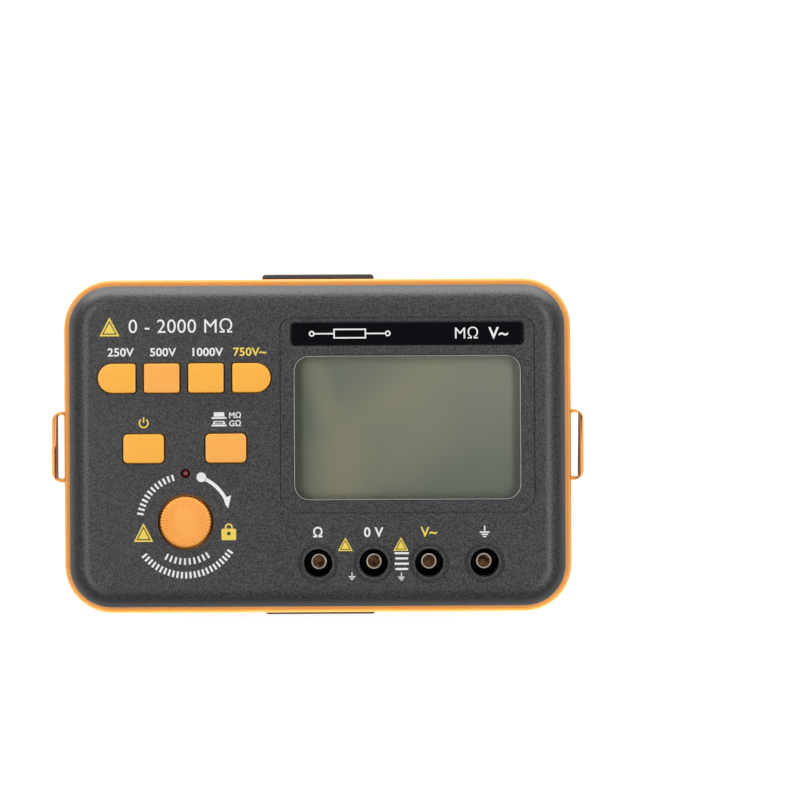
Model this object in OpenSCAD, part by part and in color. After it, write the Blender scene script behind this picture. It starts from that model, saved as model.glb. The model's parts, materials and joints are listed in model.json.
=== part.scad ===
// Insulation resistance tester: a hand-held case with a window, four lead sockets, an interlocked
// row of test-voltage buttons, two latching buttons and a press-and-turn test knob.
// Frame: origin at the centre of the plane the feet stand on, +X right and +Y up the panel,
// +Z out of the panel. All sizes are in millimetres.

/* [Case] */
// Width of the bumper band, left to right
band_w = 150; // [150:0.5:152]
// Height of the bumper band, up the panel
band_h = 98.6; // [98.6:0.2:100]
// Corner radius of the bumper band
band_corner = 14.2; // [13.5:0.1:15]
// Height of the panel face above the feet
panel_z = 69; // [69:0.5:71]
// How far the bumper band shows beyond the front case
band_rim = 1.8; // [1.6:0.1:2]
// Rounding along the front case's outer edge
front_round = 5.5; // [4.5:0.25:5.5]
// Wall of the front panel
panel_t = 2.4; // [2.4:0.1:2.6]

/* [Controls] */
// Travel of every push button
button_travel = 3; // [2:0.25:3]
// How far the button caps stand out of the panel
button_proud = 1.2; // [0.8:0.1:1.5]
// Diameter of the test knob
knob_d = 15.2; // [14.6:0.1:15.4]
// How far the test knob stands out of the panel
knob_proud = 2; // [1.5:0.1:2.5]
// Distance between neighbouring lead sockets
socket_pitch = 16.3; // [16:0.1:16.5]

/* [Display] */
// Width of the display window
window_w = 66.9; // [65:0.1:67]
// Height of the display window
window_h = 42.6; // [41:0.1:43]

/* [Hidden] */
$fn = 64;

eps = 0.01;        // overlap that lets a cut pass right through
gap = 0.2;         // assembly gap between case mouldings

// Levels above the feet
floor_z = 2;                       // outside of the rear case
floor_t = 2.6;
band_z0 = panel_z - 17;
band_z1 = panel_z - 8;
skirt_z = band_z0 - 6;             // lower edge of the skirt that nests in the rear case
board_t = 1.6;
board_z = 40;                      // rear face of the main board
board_top = board_z + board_t;
switch_top = 53;
display_z = 54.8;                  // rear face of the display board
display_top = display_z + board_t;
under_panel = panel_z - panel_t;

// Case outlines
front_w = band_w - 2 * band_rim;
front_h = band_h - 2 * band_rim;
front_corner = band_corner - band_rim;
front_wall = 3.95;
skirt_w = front_w - 3.5;
skirt_h = front_h - 3.5;
skirt_corner = front_corner - 1.75;
rear_w = band_w - 8;
rear_h = band_h - 8;
rear_corner = band_corner - 4;
rear_round = 5;
wall = 2.6;
cavity_w = rear_w - 2 * wall;
cavity_h = rear_h - 2 * wall;

// Strap lugs on the ends of the band
lug_out = 3.7;
lug_h = 21;
lug_wire = 1;
lug_slot = lug_out - lug_wire;
lug_t = 8.6;

// Side pads moulded on the rear case
pad_w = 33.4;
pad_out = 1.9;                     // how far they reach beyond the band
pad_z0 = 12;
pad_z1 = [41, 50];                 // upper ends of the near and far pads

// Display
window_x = 26.56;
window_y = 5.3;
window_corner = 4.7;
lens_gap = 0.1;
lens_flange = 1.3;
groove_w = 74.8;
groove_h = 57.5;
groove_y = 9;
groove_line = 0.4;
groove_deep = 0.3;
strip_w = 68.3;
strip_h = 6.75;
strip_y = 32.95;
strip_deep = 0.6;
lcd_w = 68.4;
lcd_h = 44;
lcd_z = 61.4;
lcd_t = 2.8;

// Lead sockets
socket_y = -34.4;
socket_x = [for (i = [0:3]) 0.11 + socket_pitch * i];
well_r = 4.2;
well_rings = [5, 5.5];             // fine grooves round each socket
ring_line = 0.25;
sleeve_r = 5.05;
sleeve_flange_r = 5.9;
sleeve_flange_t = 2;
sleeve_floor = 3;
sleeve_z = 44;
contact_r = 2.6;
contact_bore_r = 2.02;
contact_top = panel_z - 11;
contact_bore_z = 43;
contact_foot_r = 3.6;
contact_pin_r = 1.5;

// Push buttons: [x, y, width, height, round end (-1 left, 1 right, 0 none), corner radius]
row_y = 20.14;
btn_250 = [-58.6, row_y, 11.0, 8.5, -1, 0.7];
btn_500 = [-45.4, row_y, 10.35, 8.5, 0, 0.7];
btn_1000 = [-32.44, row_y, 10.35, 8.5, 0, 0.7];
btn_750 = [-19.1, row_y, 11.2, 8.5, 1, 0.7];
btn_power = [-50.8, -0.5, 11.9, 8.4, 0, 1.3];
btn_range = [-26.7, -0.45, 11.9, 8.4, 0, 1.3];
row_buttons = [btn_250, btn_500, btn_1000, btn_750];
latch_buttons = [btn_power, btn_range];
button_play = 0.35;                // gap round a cap in its opening
cap_flange = 1;
cap_z = under_panel - 1.6;         // underside of a cap's flange
cap_flange_t = 1.4;
plunger_s = 3;
channel_z = 42;                    // floor of a switch's plunger channel
plunger_z = channel_z + gap + button_travel;
collar_z = 59;
spring_wire = 0.25;                // radius of the button springs' wire
spring_coil = 2.6;

// Test knob
knob_x = -38.6;
knob_y = -22.06;
knob_hole_r = 8;
knob_z = 64;                       // underside of the knob's flange
knob_flange_r = 8.6;
knob_flange_t = 1.6;
knob_edge = 1;                     // rounding of the knob's rim
knob_hub_r = 4.8;
knob_hub_z = 60;
knob_socket_z = 66;                // end of the stem's socket in the knob
test_coil = 4;
test_wire = 0.3;
spring_turns = 4.5;
stem_r = 3;
stem_play = 0.06;
collar_in = 9;
collar_out = 10.4;
lamp_x = -38.66;
lamp_y = -7.84;
lamp_r = 1.25;
lamp_base_r = 1.9;
lamp_z = 62.4;
lamp_lead = 1.27;                  // half the distance between its leads

// Converter transformer
transformer_x = -42;
core_w = 22;
core_d = 19;
core_h = 13;
core_yoke = 3;
core_window_w = 6;
core_window_x = 6.5;
bobbin_in = [7.3, 19.3];           // opening for the middle leg
bobbin_out = [9.6, 20.8];
bobbin_cheek = [18.6, 28.6];
bobbin_t = 0.6;
winding = [18, 28];

// Small components on the main board
film_cap = [18, 8];
can_r = 4;
component_h = 12;
chip_at = [40, 2];
chip_w = 19.4;
chip_d = 6.4;
pin_pitch = 2.54;
resistor_y = -12.5;
resistor_r = 1.25;
resistor_len = 9;
lead_r = 0.3;
lead_len = 14;
transistor_at = [10, -3];
trimmer_y = 10;
trimmer_s = 6;
trimmer_h = 5;

// Fasteners
case_screw_x = 61;
case_screw_y = 34;
boss_r = 4;
boss_z = 50.2;
case_screw_z = 44;                 // seat of the case screws' heads
counterbore_r = 3.2;
post_r = 3.1;
pilot_r = 1.3;
posts = [[-62, 5], [-60, -21], [-11.5, -36], [-14.5, 36], [45, 37.3], [61.5, -26.4]];
display_post_r = 2.6;
display_posts = [for (sx = [-1, 1], sy = [-1, 1]) [window_x + 24.5 * sx, window_y + 25.9 * sy]];
foot_x = 58;
foot_y = 20;
foot_r = 4.5;
foot_seat = 0.5;
foot_edge = 0.6;

// Battery bay
cell_count = 6;
cell_r = 7.25;
cell_pitch = 15;
cell_len = 50.5;
cell_z = 12.3;
bay_w = cell_count * cell_pitch + 0.6;
bay_h = 58;
bay_top = 20;
bay_wall = 2;
door_w = 104;
door_h = 72;
door_t = 2.2;
door_seat = 2.4;
door_screw_x = 48.7;
door_head_r = 2.8;
door_head_z = floor_z + 1.2;       // seat of the door screws' heads
label_w = 70;
label_h = 36;
label_t = 0.15;
plate_t = 0.4;
nub_r = 2.7;
nub_h = 1.2;
cell_coil = 3.6;
cell_wire = 0.4;
tab_x = [-37.5, 37.5];
wire_r = 0.7;

// ---------- shared shapes ----------

// Rounded rectangle, w by h
module rounded(w, h, r) {
  square([w - 2 * r, h], center = true);
  square([w, h - 2 * r], center = true);
  for (sx = [-1, 1], sy = [-1, 1]) translate([sx * (w / 2 - r), sy * (h / 2 - r)]) circle(r);
}

// Rounded rectangle with edge radii: half profile for its corners
module corner_profile(rc, low, high, z0, z1) {
  translate([0, z0 + low]) square([rc, z1 - z0 - low - high]);
  if (high > 0) {
    translate([0, z1 - high]) square([rc - high, high]);
    intersection() {
      translate([rc - high, z1 - high]) circle(high);
      translate([rc - high, z1 - high]) square(high);
    }
  }
  if (low > 0) {
    translate([0, z0]) square([rc - low, low]);
    intersection() {
      translate([rc - low, z0 + low]) circle(low);
      translate([rc - low, z0]) square(low);
    }
  }
}

// The same profile across the whole width
module slab_profile(w, rc, low, high, z0, z1) {
  translate([-(w / 2 - rc), z0]) square([w - 2 * rc, z1 - z0]);
  for (s = [0, 1]) mirror([s, 0]) translate([w / 2 - rc, 0]) corner_profile(rc, low, high, z0, z1);
}

// Slab w by h from z0 to z1 with corner radius rc and rounded lower and upper edges
module soft_slab(w, h, rc, low, high, z0, z1) {
  rotate([90, 0, 0]) linear_extrude(h - 2 * rc, center = true) slab_profile(w, rc, low, high, z0, z1);
  rotate([90, 0, 90]) linear_extrude(w - 2 * rc, center = true) slab_profile(h, rc, low, high, z0, z1);
  for (sx = [-1, 1], sy = [-1, 1]) translate([sx * (w / 2 - rc), sy * (h / 2 - rc), 0])
    rotate_extrude() corner_profile(rc, low, high, z0, z1);
}

module plate(w, h, r, z0, z1) translate([0, 0, z0]) linear_extrude(z1 - z0) rounded(w, h, r);

module post(x, y, r, z0, z1) translate([x, y, z0]) cylinder(r = r, h = z1 - z0);

module block(x, y, w, h, z0, z1) translate([x - w / 2, y - h / 2, z0]) cube([w, h, z1 - z0]);

// Outline of a push-button cap, grown by g on every side
module button_outline(b, g = 0) {
  w = b[2] + 2 * g;
  h = b[3] + 2 * g;
  r = b[5] + g;
  translate([b[0], b[1]]) {
    if (b[4] == 0) rounded(w, h, r);
    else mirror([b[4] > 0 ? 0 : 1, 0]) {
      translate([w / 2 - h / 2, 0]) circle(h / 2);
      translate([-w / 2 + r, -h / 2]) square([w - h / 2 - r, h]);
      translate([-w / 2, -h / 2 + r]) square([r, h - 2 * r]);
      for (sy = [-1, 1]) translate([-w / 2 + r, sy * (h / 2 - r)]) circle(r);
    }
  }
}

// Wire of radius r swept along a list of points
function cross3(a, b) = [a[1] * b[2] - a[2] * b[1], a[2] * b[0] - a[0] * b[2], a[0] * b[1] - a[1] * b[0]];
function unit(v) = v / norm(v);
module wire(path, r, side = [1, 0, 0], sides = 6) {
  n = len(path);
  function tangent(i) = unit(path[min(i + 1, n - 1)] - path[max(i - 1, 0)]);
  points = [for (i = [0:n - 1]) let (t = tangent(i), u = unit(cross3(t, side)), v = cross3(t, u))
    for (k = [0:sides - 1]) path[i] + r * (cos(360 * k / sides) * u + sin(360 * k / sides) * v)];
  faces = concat(
    [[for (k = [0:sides - 1]) k]],
    [for (i = [0:n - 2], k = [0:sides - 1]) let (a = i * sides, b = (k + 1) % sides)
      [a + k, a + sides + k, a + sides + b, a + b]],
    [[for (k = [sides - 1:-1:0]) (n - 1) * sides + k]]);
  polyhedron(points, faces, convexity = 10);
}

// Compression spring along Z: coil radius, wire radius, number of turns
module coil_spring(coil, r, turns, z0, z1) {
  steps = 12;
  sides = 6;
  n = turns * steps;
  points = [for (i = [0:n]) for (k = [0:sides - 1])
    let (a = 360 * i / steps, c = 360 * k / sides, rr = coil + r * cos(c),
         z = z0 + r + (z1 - z0 - 2 * r) * i / n + r * sin(c))
    [rr * cos(a), rr * sin(a), z]];
  faces = concat(
    [[for (k = [0:sides - 1]) k]],
    [for (i = [0:n - 1], k = [0:sides - 1]) let (a = i * sides, b = (k + 1) % sides)
      [a + k, a + sides + k, a + sides + b, a + b]],
    [[for (k = [sides - 1:-1:0]) n * sides + k]]);
  polyhedron(points, faces, convexity = 10);
}

// Cross-head screw pointing up +Z, its head's underside at z = 0
module screw(head_r, head_h, shank_r, length) {
  difference() {
    union() {
      translate([0, 0, -head_h]) cylinder(r = head_r, h = head_h);
      translate([0, 0, -head_h / 2]) cylinder(r = shank_r, h = length + head_h / 2);
    }
    for (a = [0, 90]) rotate(a) block(0, 0, head_r * 1.2, 0.6, -head_h - eps, -head_h * 0.45);
  }
}

// ---------- case ----------

module front_case() color([0.28, 0.28, 0.29]) difference() {
  union() {
    difference() {
      union() {
        soft_slab(front_w, front_h, front_corner, 0, front_round, band_z1, panel_z);
        plate(skirt_w, skirt_h, skirt_corner, skirt_z, band_z1 + 1);
      }
      soft_slab(front_w - 2 * front_wall, front_h - 2 * front_wall, front_corner - front_wall,
        0, 3.2, skirt_z - 1, under_panel);
    }
    for (p = posts) post(p[0], p[1], post_r, board_top, under_panel + 1);
    for (p = display_posts) post(p[0], p[1], display_post_r, display_top, under_panel + 1);
    for (sx = [-1, 1], sy = [-1, 1])
      post(sx * case_screw_x, sy * case_screw_y, boss_r, boss_z, under_panel + 1);
    post(knob_x, knob_y, collar_out, collar_z - 0.5, under_panel + 1);
  }
  for (p = posts) post(p[0], p[1], pilot_r, board_top - 1, board_top + 10);
  for (p = display_posts) post(p[0], p[1], pilot_r, display_top - 1, display_top + 8);
  for (sx = [-1, 1], sy = [-1, 1]) post(sx * case_screw_x, sy * case_screw_y, 1.5, boss_z - 1, 64);
  post(knob_x, knob_y, collar_in, collar_z - 2, under_panel);
  post(knob_x, knob_y, knob_hole_r, collar_z - 2, panel_z + 1);
  post(lamp_x, lamp_y, lamp_r + 0.1, lamp_z - 2, panel_z + 1);
  translate([0, 0, under_panel - 1]) linear_extrude(panel_t + 2)
    for (b = concat(row_buttons, latch_buttons)) button_outline(b, button_play);
  for (x = socket_x) {
    post(x, socket_y, well_r, under_panel - 1, panel_z + 1);
    for (r = well_rings) difference() {
      post(x, socket_y, r + ring_line, panel_z - groove_deep, panel_z + 1);
      post(x, socket_y, r, panel_z - 1, panel_z + 2);
    }
  }
  translate([window_x, window_y, 0])
    plate(window_w + 2 * lens_gap, window_h + 2 * lens_gap, window_corner, under_panel - 1, panel_z + 1);
  translate([window_x, strip_y, 0])
    plate(strip_w + 0.3, strip_h + 0.3, 1.3, panel_z - strip_deep, panel_z + 1);
  translate([window_x, groove_y, 0]) difference() {
    plate(groove_w, groove_h, 4, panel_z - groove_deep, panel_z + 1);
    plate(groove_w - 2 * groove_line, groove_h - 2 * groove_line, 3.6, panel_z - 1, panel_z + 2);
  }
}

module rear_case() color([0.24, 0.24, 0.25]) difference() {
  union() {
    soft_slab(rear_w, rear_h, rear_corner, rear_round, 0, floor_z, band_z0);
    plate(front_w, front_h, front_corner, band_z0 - 8.5, band_z0);
    for (i = [0, 1]) {
      pad_end = band_h / 2 + pad_out;
      translate([0, (2 * i - 1) * (pad_end - 5), 0]) plate(pad_w, 10, 1, pad_z0, pad_z1[i]);
    }
  }
  difference() {
    plate(cavity_w, cavity_h, rear_corner - wall, floor_z + floor_t, band_z0 + 1);
    block(0, 0, bay_w + 2 * bay_wall, bay_h + 2 * bay_wall, 0, bay_top + bay_wall);
    block(0, 0, door_w, door_h, 0, 7);
    for (sx = [-1, 1], sy = [-1, 1]) post(sx * case_screw_x, sy * case_screw_y, 4.4, 0, 50);
    for (sx = [-1, 1]) post(sx * door_screw_x, 0, 3, 0, 13);
  }
  plate(skirt_w + 2 * gap, skirt_h + 2 * gap, skirt_corner + gap, skirt_z - gap, band_z0 + 1);
  block(0, 0, bay_w, bay_h, 0, bay_top);
  plate(door_w + 0.4, door_h + 0.4, 2.2, 0, floor_z + door_seat);
  for (x = tab_x) block(x, bay_h / 2 - plate_t / 2, 3.4, 0.8, bay_top - 1, bay_top + bay_wall + 1);
  for (sx = [-1, 1], sy = [-1, 1]) {
    post(sx * case_screw_x, sy * case_screw_y, counterbore_r, 0, case_screw_z);
    post(sx * case_screw_x, sy * case_screw_y, 1.6, case_screw_z - 1, 51);
    post(sx * foot_x, sy * foot_y, foot_r + 0.1, 0, floor_z + foot_seat);
  }
  for (sx = [-1, 1]) post(sx * door_screw_x, 0, 1.55, 0, 11);
}

module bumper_band() color([0.96, 0.68, 0.35]) {
  difference() {
    soft_slab(band_w, band_h, band_corner, 1.2, 1.2, band_z0, band_z1);
    plate(skirt_w + gap, skirt_h + gap, skirt_corner + gap / 2, band_z0 - 1, band_z1 + 1);
  }
  lug_z = (band_z0 + band_z1 - lug_t) / 2;
  for (s = [0, 1]) mirror([s, 0, 0]) difference() {
    translate([band_w / 2 + lug_out - 5, 0, 0]) plate(10, lug_h, 3, lug_z, lug_z + lug_t);
    translate([(band_w + lug_slot) / 2, 0, 0])
      plate(lug_slot, lug_h - 2 * lug_wire, 0.8, lug_z - 1, lug_z + lug_t + 1);
    block(band_w / 2 - 5, 0, 9, lug_h + 2, lug_z - 1, lug_z + lug_t + 1);
  }
}

module battery_door() color([0.26, 0.26, 0.27]) difference() {
  plate(door_w, door_h, 2, floor_z, floor_z + door_t);
  for (sx = [-1, 1]) {
    post(sx * door_screw_x, 0, 1.6, 0, 5);
    post(sx * door_screw_x, 0, door_head_r, 0, door_head_z);
  }
  plate(label_w + 0.4, label_h + 0.4, 1, 0, floor_z + label_t);
  for (i = [-4:4]) block(i * 2.4, -30.5, 1.1, 5, 0, floor_z + 0.5);
}

module door_screws() color([0.75, 0.75, 0.77])
  for (sx = [-1, 1]) translate([sx * door_screw_x, 0, door_head_z]) screw(2.6, 1, 1.45, 7);

module case_screws() color([0.7, 0.7, 0.72]) for (sx = [-1, 1], sy = [-1, 1])
  translate([sx * case_screw_x, sy * case_screw_y, case_screw_z]) screw(2.9, 2.2, 1.45, 18);

module rubber_feet() color([0.12, 0.12, 0.12]) for (sx = [-1, 1], sy = [-1, 1])
  translate([sx * foot_x, sy * foot_y, 0]) rotate_extrude() {
    translate([0, foot_edge]) square([foot_r, floor_z + foot_seat - foot_edge]);
    square([foot_r - foot_edge, foot_edge]);
  }

module rear_label() color([0.75, 0.75, 0.76]) plate(label_w, label_h, 0.8, floor_z, floor_z + label_t);

// ---------- display ----------

module title_plate() color([0.07, 0.07, 0.09])
  translate([window_x, strip_y, 0]) plate(strip_w, strip_h, 1.2, panel_z - strip_deep, panel_z + 0.1);

module display_window() color([0.8, 0.85, 0.85, 0.35]) translate([window_x, window_y, 0]) {
  plate(window_w, window_h, window_corner - lens_gap, under_panel - 0.3, panel_z - 0.4);
  plate(window_w + 2 * lens_flange, window_h + 2 * lens_flange, 2,
    under_panel - 1.4, under_panel - 0.05);
}

module lcd_glass() color([0.45, 0.47, 0.41])
  translate([window_x, window_y, 0]) plate(lcd_w, lcd_h, 0.5, lcd_z, lcd_z + lcd_t);

module lcd_frame() color([0.15, 0.15, 0.15]) translate([window_x, window_y, 0]) difference() {
  plate(lcd_w + 3, lcd_h + 2.2, 1, display_top, lcd_z + lcd_t + 0.6);
  plate(lcd_w + 0.4, lcd_h + 0.4, 0.6, display_top - 1, lcd_z + lcd_t + 0.05);
  plate(window_w - 0.4, window_h - 0.4, 4.4, display_top - 1, panel_z);
}

module zebra_strips() color([0.85, 0.45, 0.5])
  for (sy = [-1, 1]) block(window_x, window_y + 19 * sy, 62, 2.5, display_top, lcd_z);

module display_board() color([0.1, 0.4, 0.25]) difference() {
  block(window_x, window_y, 73, 57, display_z, display_top);
  for (p = display_posts) post(p[0], p[1], pilot_r, display_z - 1, display_top + 1);
  block(case_screw_x, case_screw_y, 10, 10, display_z - 1, display_top + 1);
}

module measuring_chip() color([0.13, 0.13, 0.14]) {
  block(window_x, window_y, 14, 14, display_z - 1.5, display_z - 0.1);
  for (a = [0, 90, 180, 270], i = [-7:7]) translate([window_x, window_y, 0]) rotate(a)
    block(i * 0.8, 7.8, 0.3, 1.8, display_z - 0.3, display_z);
}

// ---------- main board ----------

module main_board() color([0.1, 0.4, 0.25]) difference() {
  block(0, 0, 132, 81, board_z, board_top);
  for (sx = [-1, 1], sy = [-1, 1]) block(sx * 61.75, sy * 35.5, 12.5, 12.6, board_z - 1, board_top + 1);
  for (p = posts) post(p[0], p[1], 1.4, board_z - 1, board_top + 1);
  for (x = socket_x) post(x, socket_y, 1.6, board_z - 1, board_top + 1);
}

module board_screws() color([0.75, 0.75, 0.77]) {
  for (p = posts) translate([p[0], p[1], board_z]) screw(2.2, 1.6, 1.2, 8);
  for (p = display_posts) translate([p[0], p[1], display_z]) screw(2.2, 1.6, 1.2, 8);
}

module board_link() color([0.15, 0.15, 0.16])
  block(window_x, -21.3, 26, 2.5, board_top, display_z);

// The converter transformer hangs under the board: its legs stand along Z, and the winding goes
// round the middle one
module transformer_core() color([0.3, 0.3, 0.32]) translate([transformer_x, 0, 0]) difference() {
  block(0, 0, core_w, core_d, board_z - core_h, board_z);
  for (s = [-1, 1])
    block(s * core_window_x, 0, core_window_w, core_d + 2, board_z - core_h + core_yoke, board_z - core_yoke);
}

module transformer_bobbin() color([0.9, 0.88, 0.8]) translate([transformer_x, 0, 0]) {
  z0 = board_z - core_h + core_yoke + 0.1;
  z1 = board_z - core_yoke - 0.1;
  difference() {
    union() {
      block(0, 0, bobbin_out[0], bobbin_out[1], z0, z1);
      for (z = [z0, z1 - bobbin_t]) block(0, 0, bobbin_cheek[0], bobbin_cheek[1], z, z + bobbin_t);
    }
    block(0, 0, bobbin_in[0], bobbin_in[1], z0 - 1, z1 + 1);
  }
}

module transformer_winding() color([0.75, 0.45, 0.2]) translate([transformer_x, 0, 0]) difference() {
  cheek = core_yoke + 0.2 + bobbin_t;
  block(0, 0, winding[0], winding[1], board_z - core_h + cheek, board_z - cheek);
  block(0, 0, bobbin_out[0] + 0.1, bobbin_out[1] + 0.1, board_z - core_h, board_z);
}

module film_capacitors() color([0.75, 0.25, 0.15])
  for (y = [10, 22]) translate([6, y, 0])
    plate(film_cap[0], film_cap[1], 1.5, board_top, board_top + component_h);

module electrolytic_capacitors() color([0.15, 0.18, 0.35])
  for (x = [26, 38, 50]) post(x, 24, can_r, board_top, board_top + component_h - 0.5);

module converter_chip() color([0.13, 0.13, 0.14]) translate([chip_at[0], chip_at[1], 0]) {
  block(0, 0, chip_w, chip_d, board_top + 0.6, board_top + 4.1);
  for (i = [0:7], s = [-1, 1])
    block((i - 3.5) * pin_pitch, s * (chip_d / 2 + 0.5), 0.5, 1, board_top, board_top + 2);
}

module precision_resistors() color([0.35, 0.6, 0.8]) for (x = [6, 14, 22, 30, 38])
  translate([x, resistor_y, board_top + 1.4]) rotate([90, 0, 0]) {
    cylinder(r = resistor_r, h = resistor_len, center = true);
    cylinder(r = lead_r, h = lead_len, center = true);
  }

module switching_transistor() color([0.16, 0.16, 0.17])
  translate([transistor_at[0], transistor_at[1], 0]) {
    block(0, 0, 10, 4.5, board_top + 1, board_top + 10);
    for (i = [-1:1]) block(i * pin_pitch, 0, 0.8, 0.6, board_top, board_top + 2);
  }

module trimmer_pots() color([0.2, 0.35, 0.75]) for (x = [24, 31]) difference() {
  block(x, trimmer_y, trimmer_s, trimmer_s, board_top, board_top + trimmer_h);
  post(x, trimmer_y, 1.2, board_top + trimmer_h - 0.5, board_top + trimmer_h + 1);
}

// ---------- voltage buttons ----------

module voltage_switch_body() color([0.2, 0.2, 0.22]) difference() {
  bank_w = btn_750[0] - btn_250[0] + 9;
  block((btn_750[0] + btn_250[0]) / 2, row_y, bank_w, 13, board_top, switch_top);
  for (b = row_buttons) block(b[0], row_y, plunger_s + gap, plunger_s + gap, channel_z, switch_top + 1);
  block((btn_750[0] + btn_250[0]) / 2, row_y + 3, bank_w + 2, 1.2, 46, 50);
}

module interlock_bar() color([0.8, 0.8, 0.82])
  block((btn_750[0] + btn_250[0]) / 2, row_y + 3, 44, 1, 46.1, 49.9);

module button_cap(b) difference() {
  union() {
    translate([0, 0, cap_z]) linear_extrude(panel_z + button_proud - cap_z) button_outline(b);
    translate([0, 0, cap_z]) linear_extrude(cap_flange_t) button_outline(b, cap_flange);
  }
  block(b[0], b[1], plunger_s + 0.1, plunger_s + 0.1, cap_z - 1, cap_z + 2.1);
}

module plunger(b) {
  block(b[0], b[1], plunger_s, plunger_s, plunger_z, cap_z + 2);
  block(b[0], b[1], 6, 6, collar_z, collar_z + 1);
}

module button_spring(b) translate([b[0], b[1], 0])
  coil_spring(spring_coil, spring_wire, spring_turns, switch_top, collar_z);

orange = [1, 0.73, 0.32];
nylon = [0.92, 0.92, 0.9];
steel = [0.8, 0.8, 0.82];
module button_250v() color(orange) button_cap(btn_250);
module button_500v() color(orange) button_cap(btn_500);
module button_1000v() color(orange) button_cap(btn_1000);
module button_750v() color(orange) button_cap(btn_750);
module power_button() color(orange) button_cap(btn_power);
module range_button() color(orange) button_cap(btn_range);
module plunger_250v() color(nylon) plunger(btn_250);
module plunger_500v() color(nylon) plunger(btn_500);
module plunger_1000v() color(nylon) plunger(btn_1000);
module plunger_750v() color(nylon) plunger(btn_750);
module power_plunger() color(nylon) plunger(btn_power);
module range_plunger() color(nylon) plunger(btn_range);
module spring_250v() color(steel) button_spring(btn_250);
module spring_500v() color(steel) button_spring(btn_500);
module spring_1000v() color(steel) button_spring(btn_1000);
module spring_750v() color(steel) button_spring(btn_750);
module power_spring() color(steel) button_spring(btn_power);
module range_spring() color(steel) button_spring(btn_range);

module latch_switch(b) difference() {
  block(b[0], b[1], 8.5, 8.5, board_top, switch_top);
  block(b[0], b[1], plunger_s + gap, plunger_s + gap, channel_z, switch_top + 1);
}
module power_switch_body() color([0.2, 0.2, 0.22]) latch_switch(btn_power);
module range_switch_body() color([0.2, 0.2, 0.22]) latch_switch(btn_range);

// ---------- test knob ----------

module test_knob() color(orange) translate([knob_x, knob_y, 0]) difference() {
  top = panel_z + knob_proud;
  r = knob_d / 2;
  rotate_extrude() {
    translate([0, knob_z]) square([r, top - knob_z - knob_edge]);
    translate([0, knob_z]) square([r - knob_edge, top - knob_z]);
    translate([r - knob_edge, top - knob_edge]) intersection() {
      circle(knob_edge);
      square(knob_edge);
    }
    translate([0, knob_z]) square([knob_flange_r, knob_flange_t]);
    translate([0, knob_hub_z]) square([knob_hub_r, knob_z - knob_hub_z + 0.5]);
  }
  post(0, 0, stem_r + stem_play, knob_hub_z - 1, knob_socket_z);
}

module test_stem() color(nylon) translate([knob_x, knob_y, 0])
  post(0, 0, stem_r, plunger_z - 0.2, knob_socket_z - 0.1);

module test_spring() color(steel) translate([knob_x, knob_y, 0])
  coil_spring(test_coil, test_wire, spring_turns, switch_top, knob_hub_z);

module test_switch_body() color([0.2, 0.2, 0.22]) difference() {
  block(knob_x, knob_y, 15, 15, board_top, switch_top);
  post(knob_x, knob_y, stem_r + stem_play, channel_z - 0.2, switch_top + 1);
}

module test_lamp() color([0.7, 0.08, 0.08]) translate([lamp_x, lamp_y, 0]) {
  dome_z = panel_z - 1.2;
  rotate_extrude() {
    translate([0, lamp_z]) square([lamp_base_r, 1]);
    translate([0, lamp_z + 1]) square([lamp_r, dome_z - lamp_z - 1]);
    translate([0, dome_z]) intersection() {
      circle(lamp_r);
      square(lamp_r);
    }
  }
  for (s = [-1, 1]) block(s * lamp_lead, 0, 0.5, 0.5, board_top, lamp_z + eps);
}

// ---------- lead sockets ----------

module jack_sleeves() color([0.1, 0.1, 0.1]) for (x = socket_x) translate([x, socket_y, 0])
  difference() {
    union() {
      post(0, 0, sleeve_r, sleeve_z, under_panel);
      post(0, 0, sleeve_flange_r, under_panel - sleeve_flange_t, under_panel);
    }
    post(0, 0, well_r, sleeve_z + sleeve_floor, panel_z + 1);
    post(0, 0, contact_r + 0.02, sleeve_z - 1, panel_z);
  }

module jack_contacts() color([0.85, 0.83, 0.75]) for (x = socket_x) translate([x, socket_y, 0])
  difference() {
    union() {
      post(0, 0, contact_r, board_top, contact_top);
      post(0, 0, contact_foot_r, board_top, sleeve_z);
      post(0, 0, contact_pin_r, board_z - 1.4, board_top + 0.5);
    }
    post(0, 0, contact_bore_r, contact_bore_z, contact_top + 1);
  }

// ---------- battery ----------

function cell_x(i) = (i - (cell_count - 1) / 2) * cell_pitch;
function cell_dir(i) = i % 2 == 0 ? 1 : -1;
plus_end = bay_h / 2 - plate_t;

module aa_cells() color([0.15, 0.3, 0.6]) for (i = [0:cell_count - 1])
  translate([cell_x(i), 0, cell_z]) rotate([-90 * cell_dir(i), 0, 0]) {
    translate([0, 0, plus_end - cell_len]) cylinder(r = cell_r, h = cell_len - nub_h);
    translate([0, 0, plus_end - nub_h - 0.2]) cylinder(r = nub_r, h = nub_h + 0.2);
  }

module battery_springs() color(steel) for (i = [0:cell_count - 1])
  translate([cell_x(i), 0, cell_z]) rotate([90 * cell_dir(i), 0, 0])
    coil_spring(cell_coil, cell_wire, 3.5, cell_len - plus_end, plus_end);

module battery_plates() color([0.85, 0.85, 0.82]) {
  plate_y = bay_h / 2 - plate_t / 2;
  for (i = [0:cell_count - 1], s = [-1, 1]) block(cell_x(i), s * plate_y, 12, plate_t, 6, 18.6);
  for (i = [0:2:cell_count - 2]) block(cell_x(i) + cell_pitch / 2, -plate_y, 4, plate_t, 9, 15);
  for (i = [1:2:cell_count - 3]) block(cell_x(i) + cell_pitch / 2, plate_y, 4, plate_t, 9, 15);
  for (x = tab_x) block(x, plate_y, 2.8, plate_t, 18, 24);
}

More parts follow.
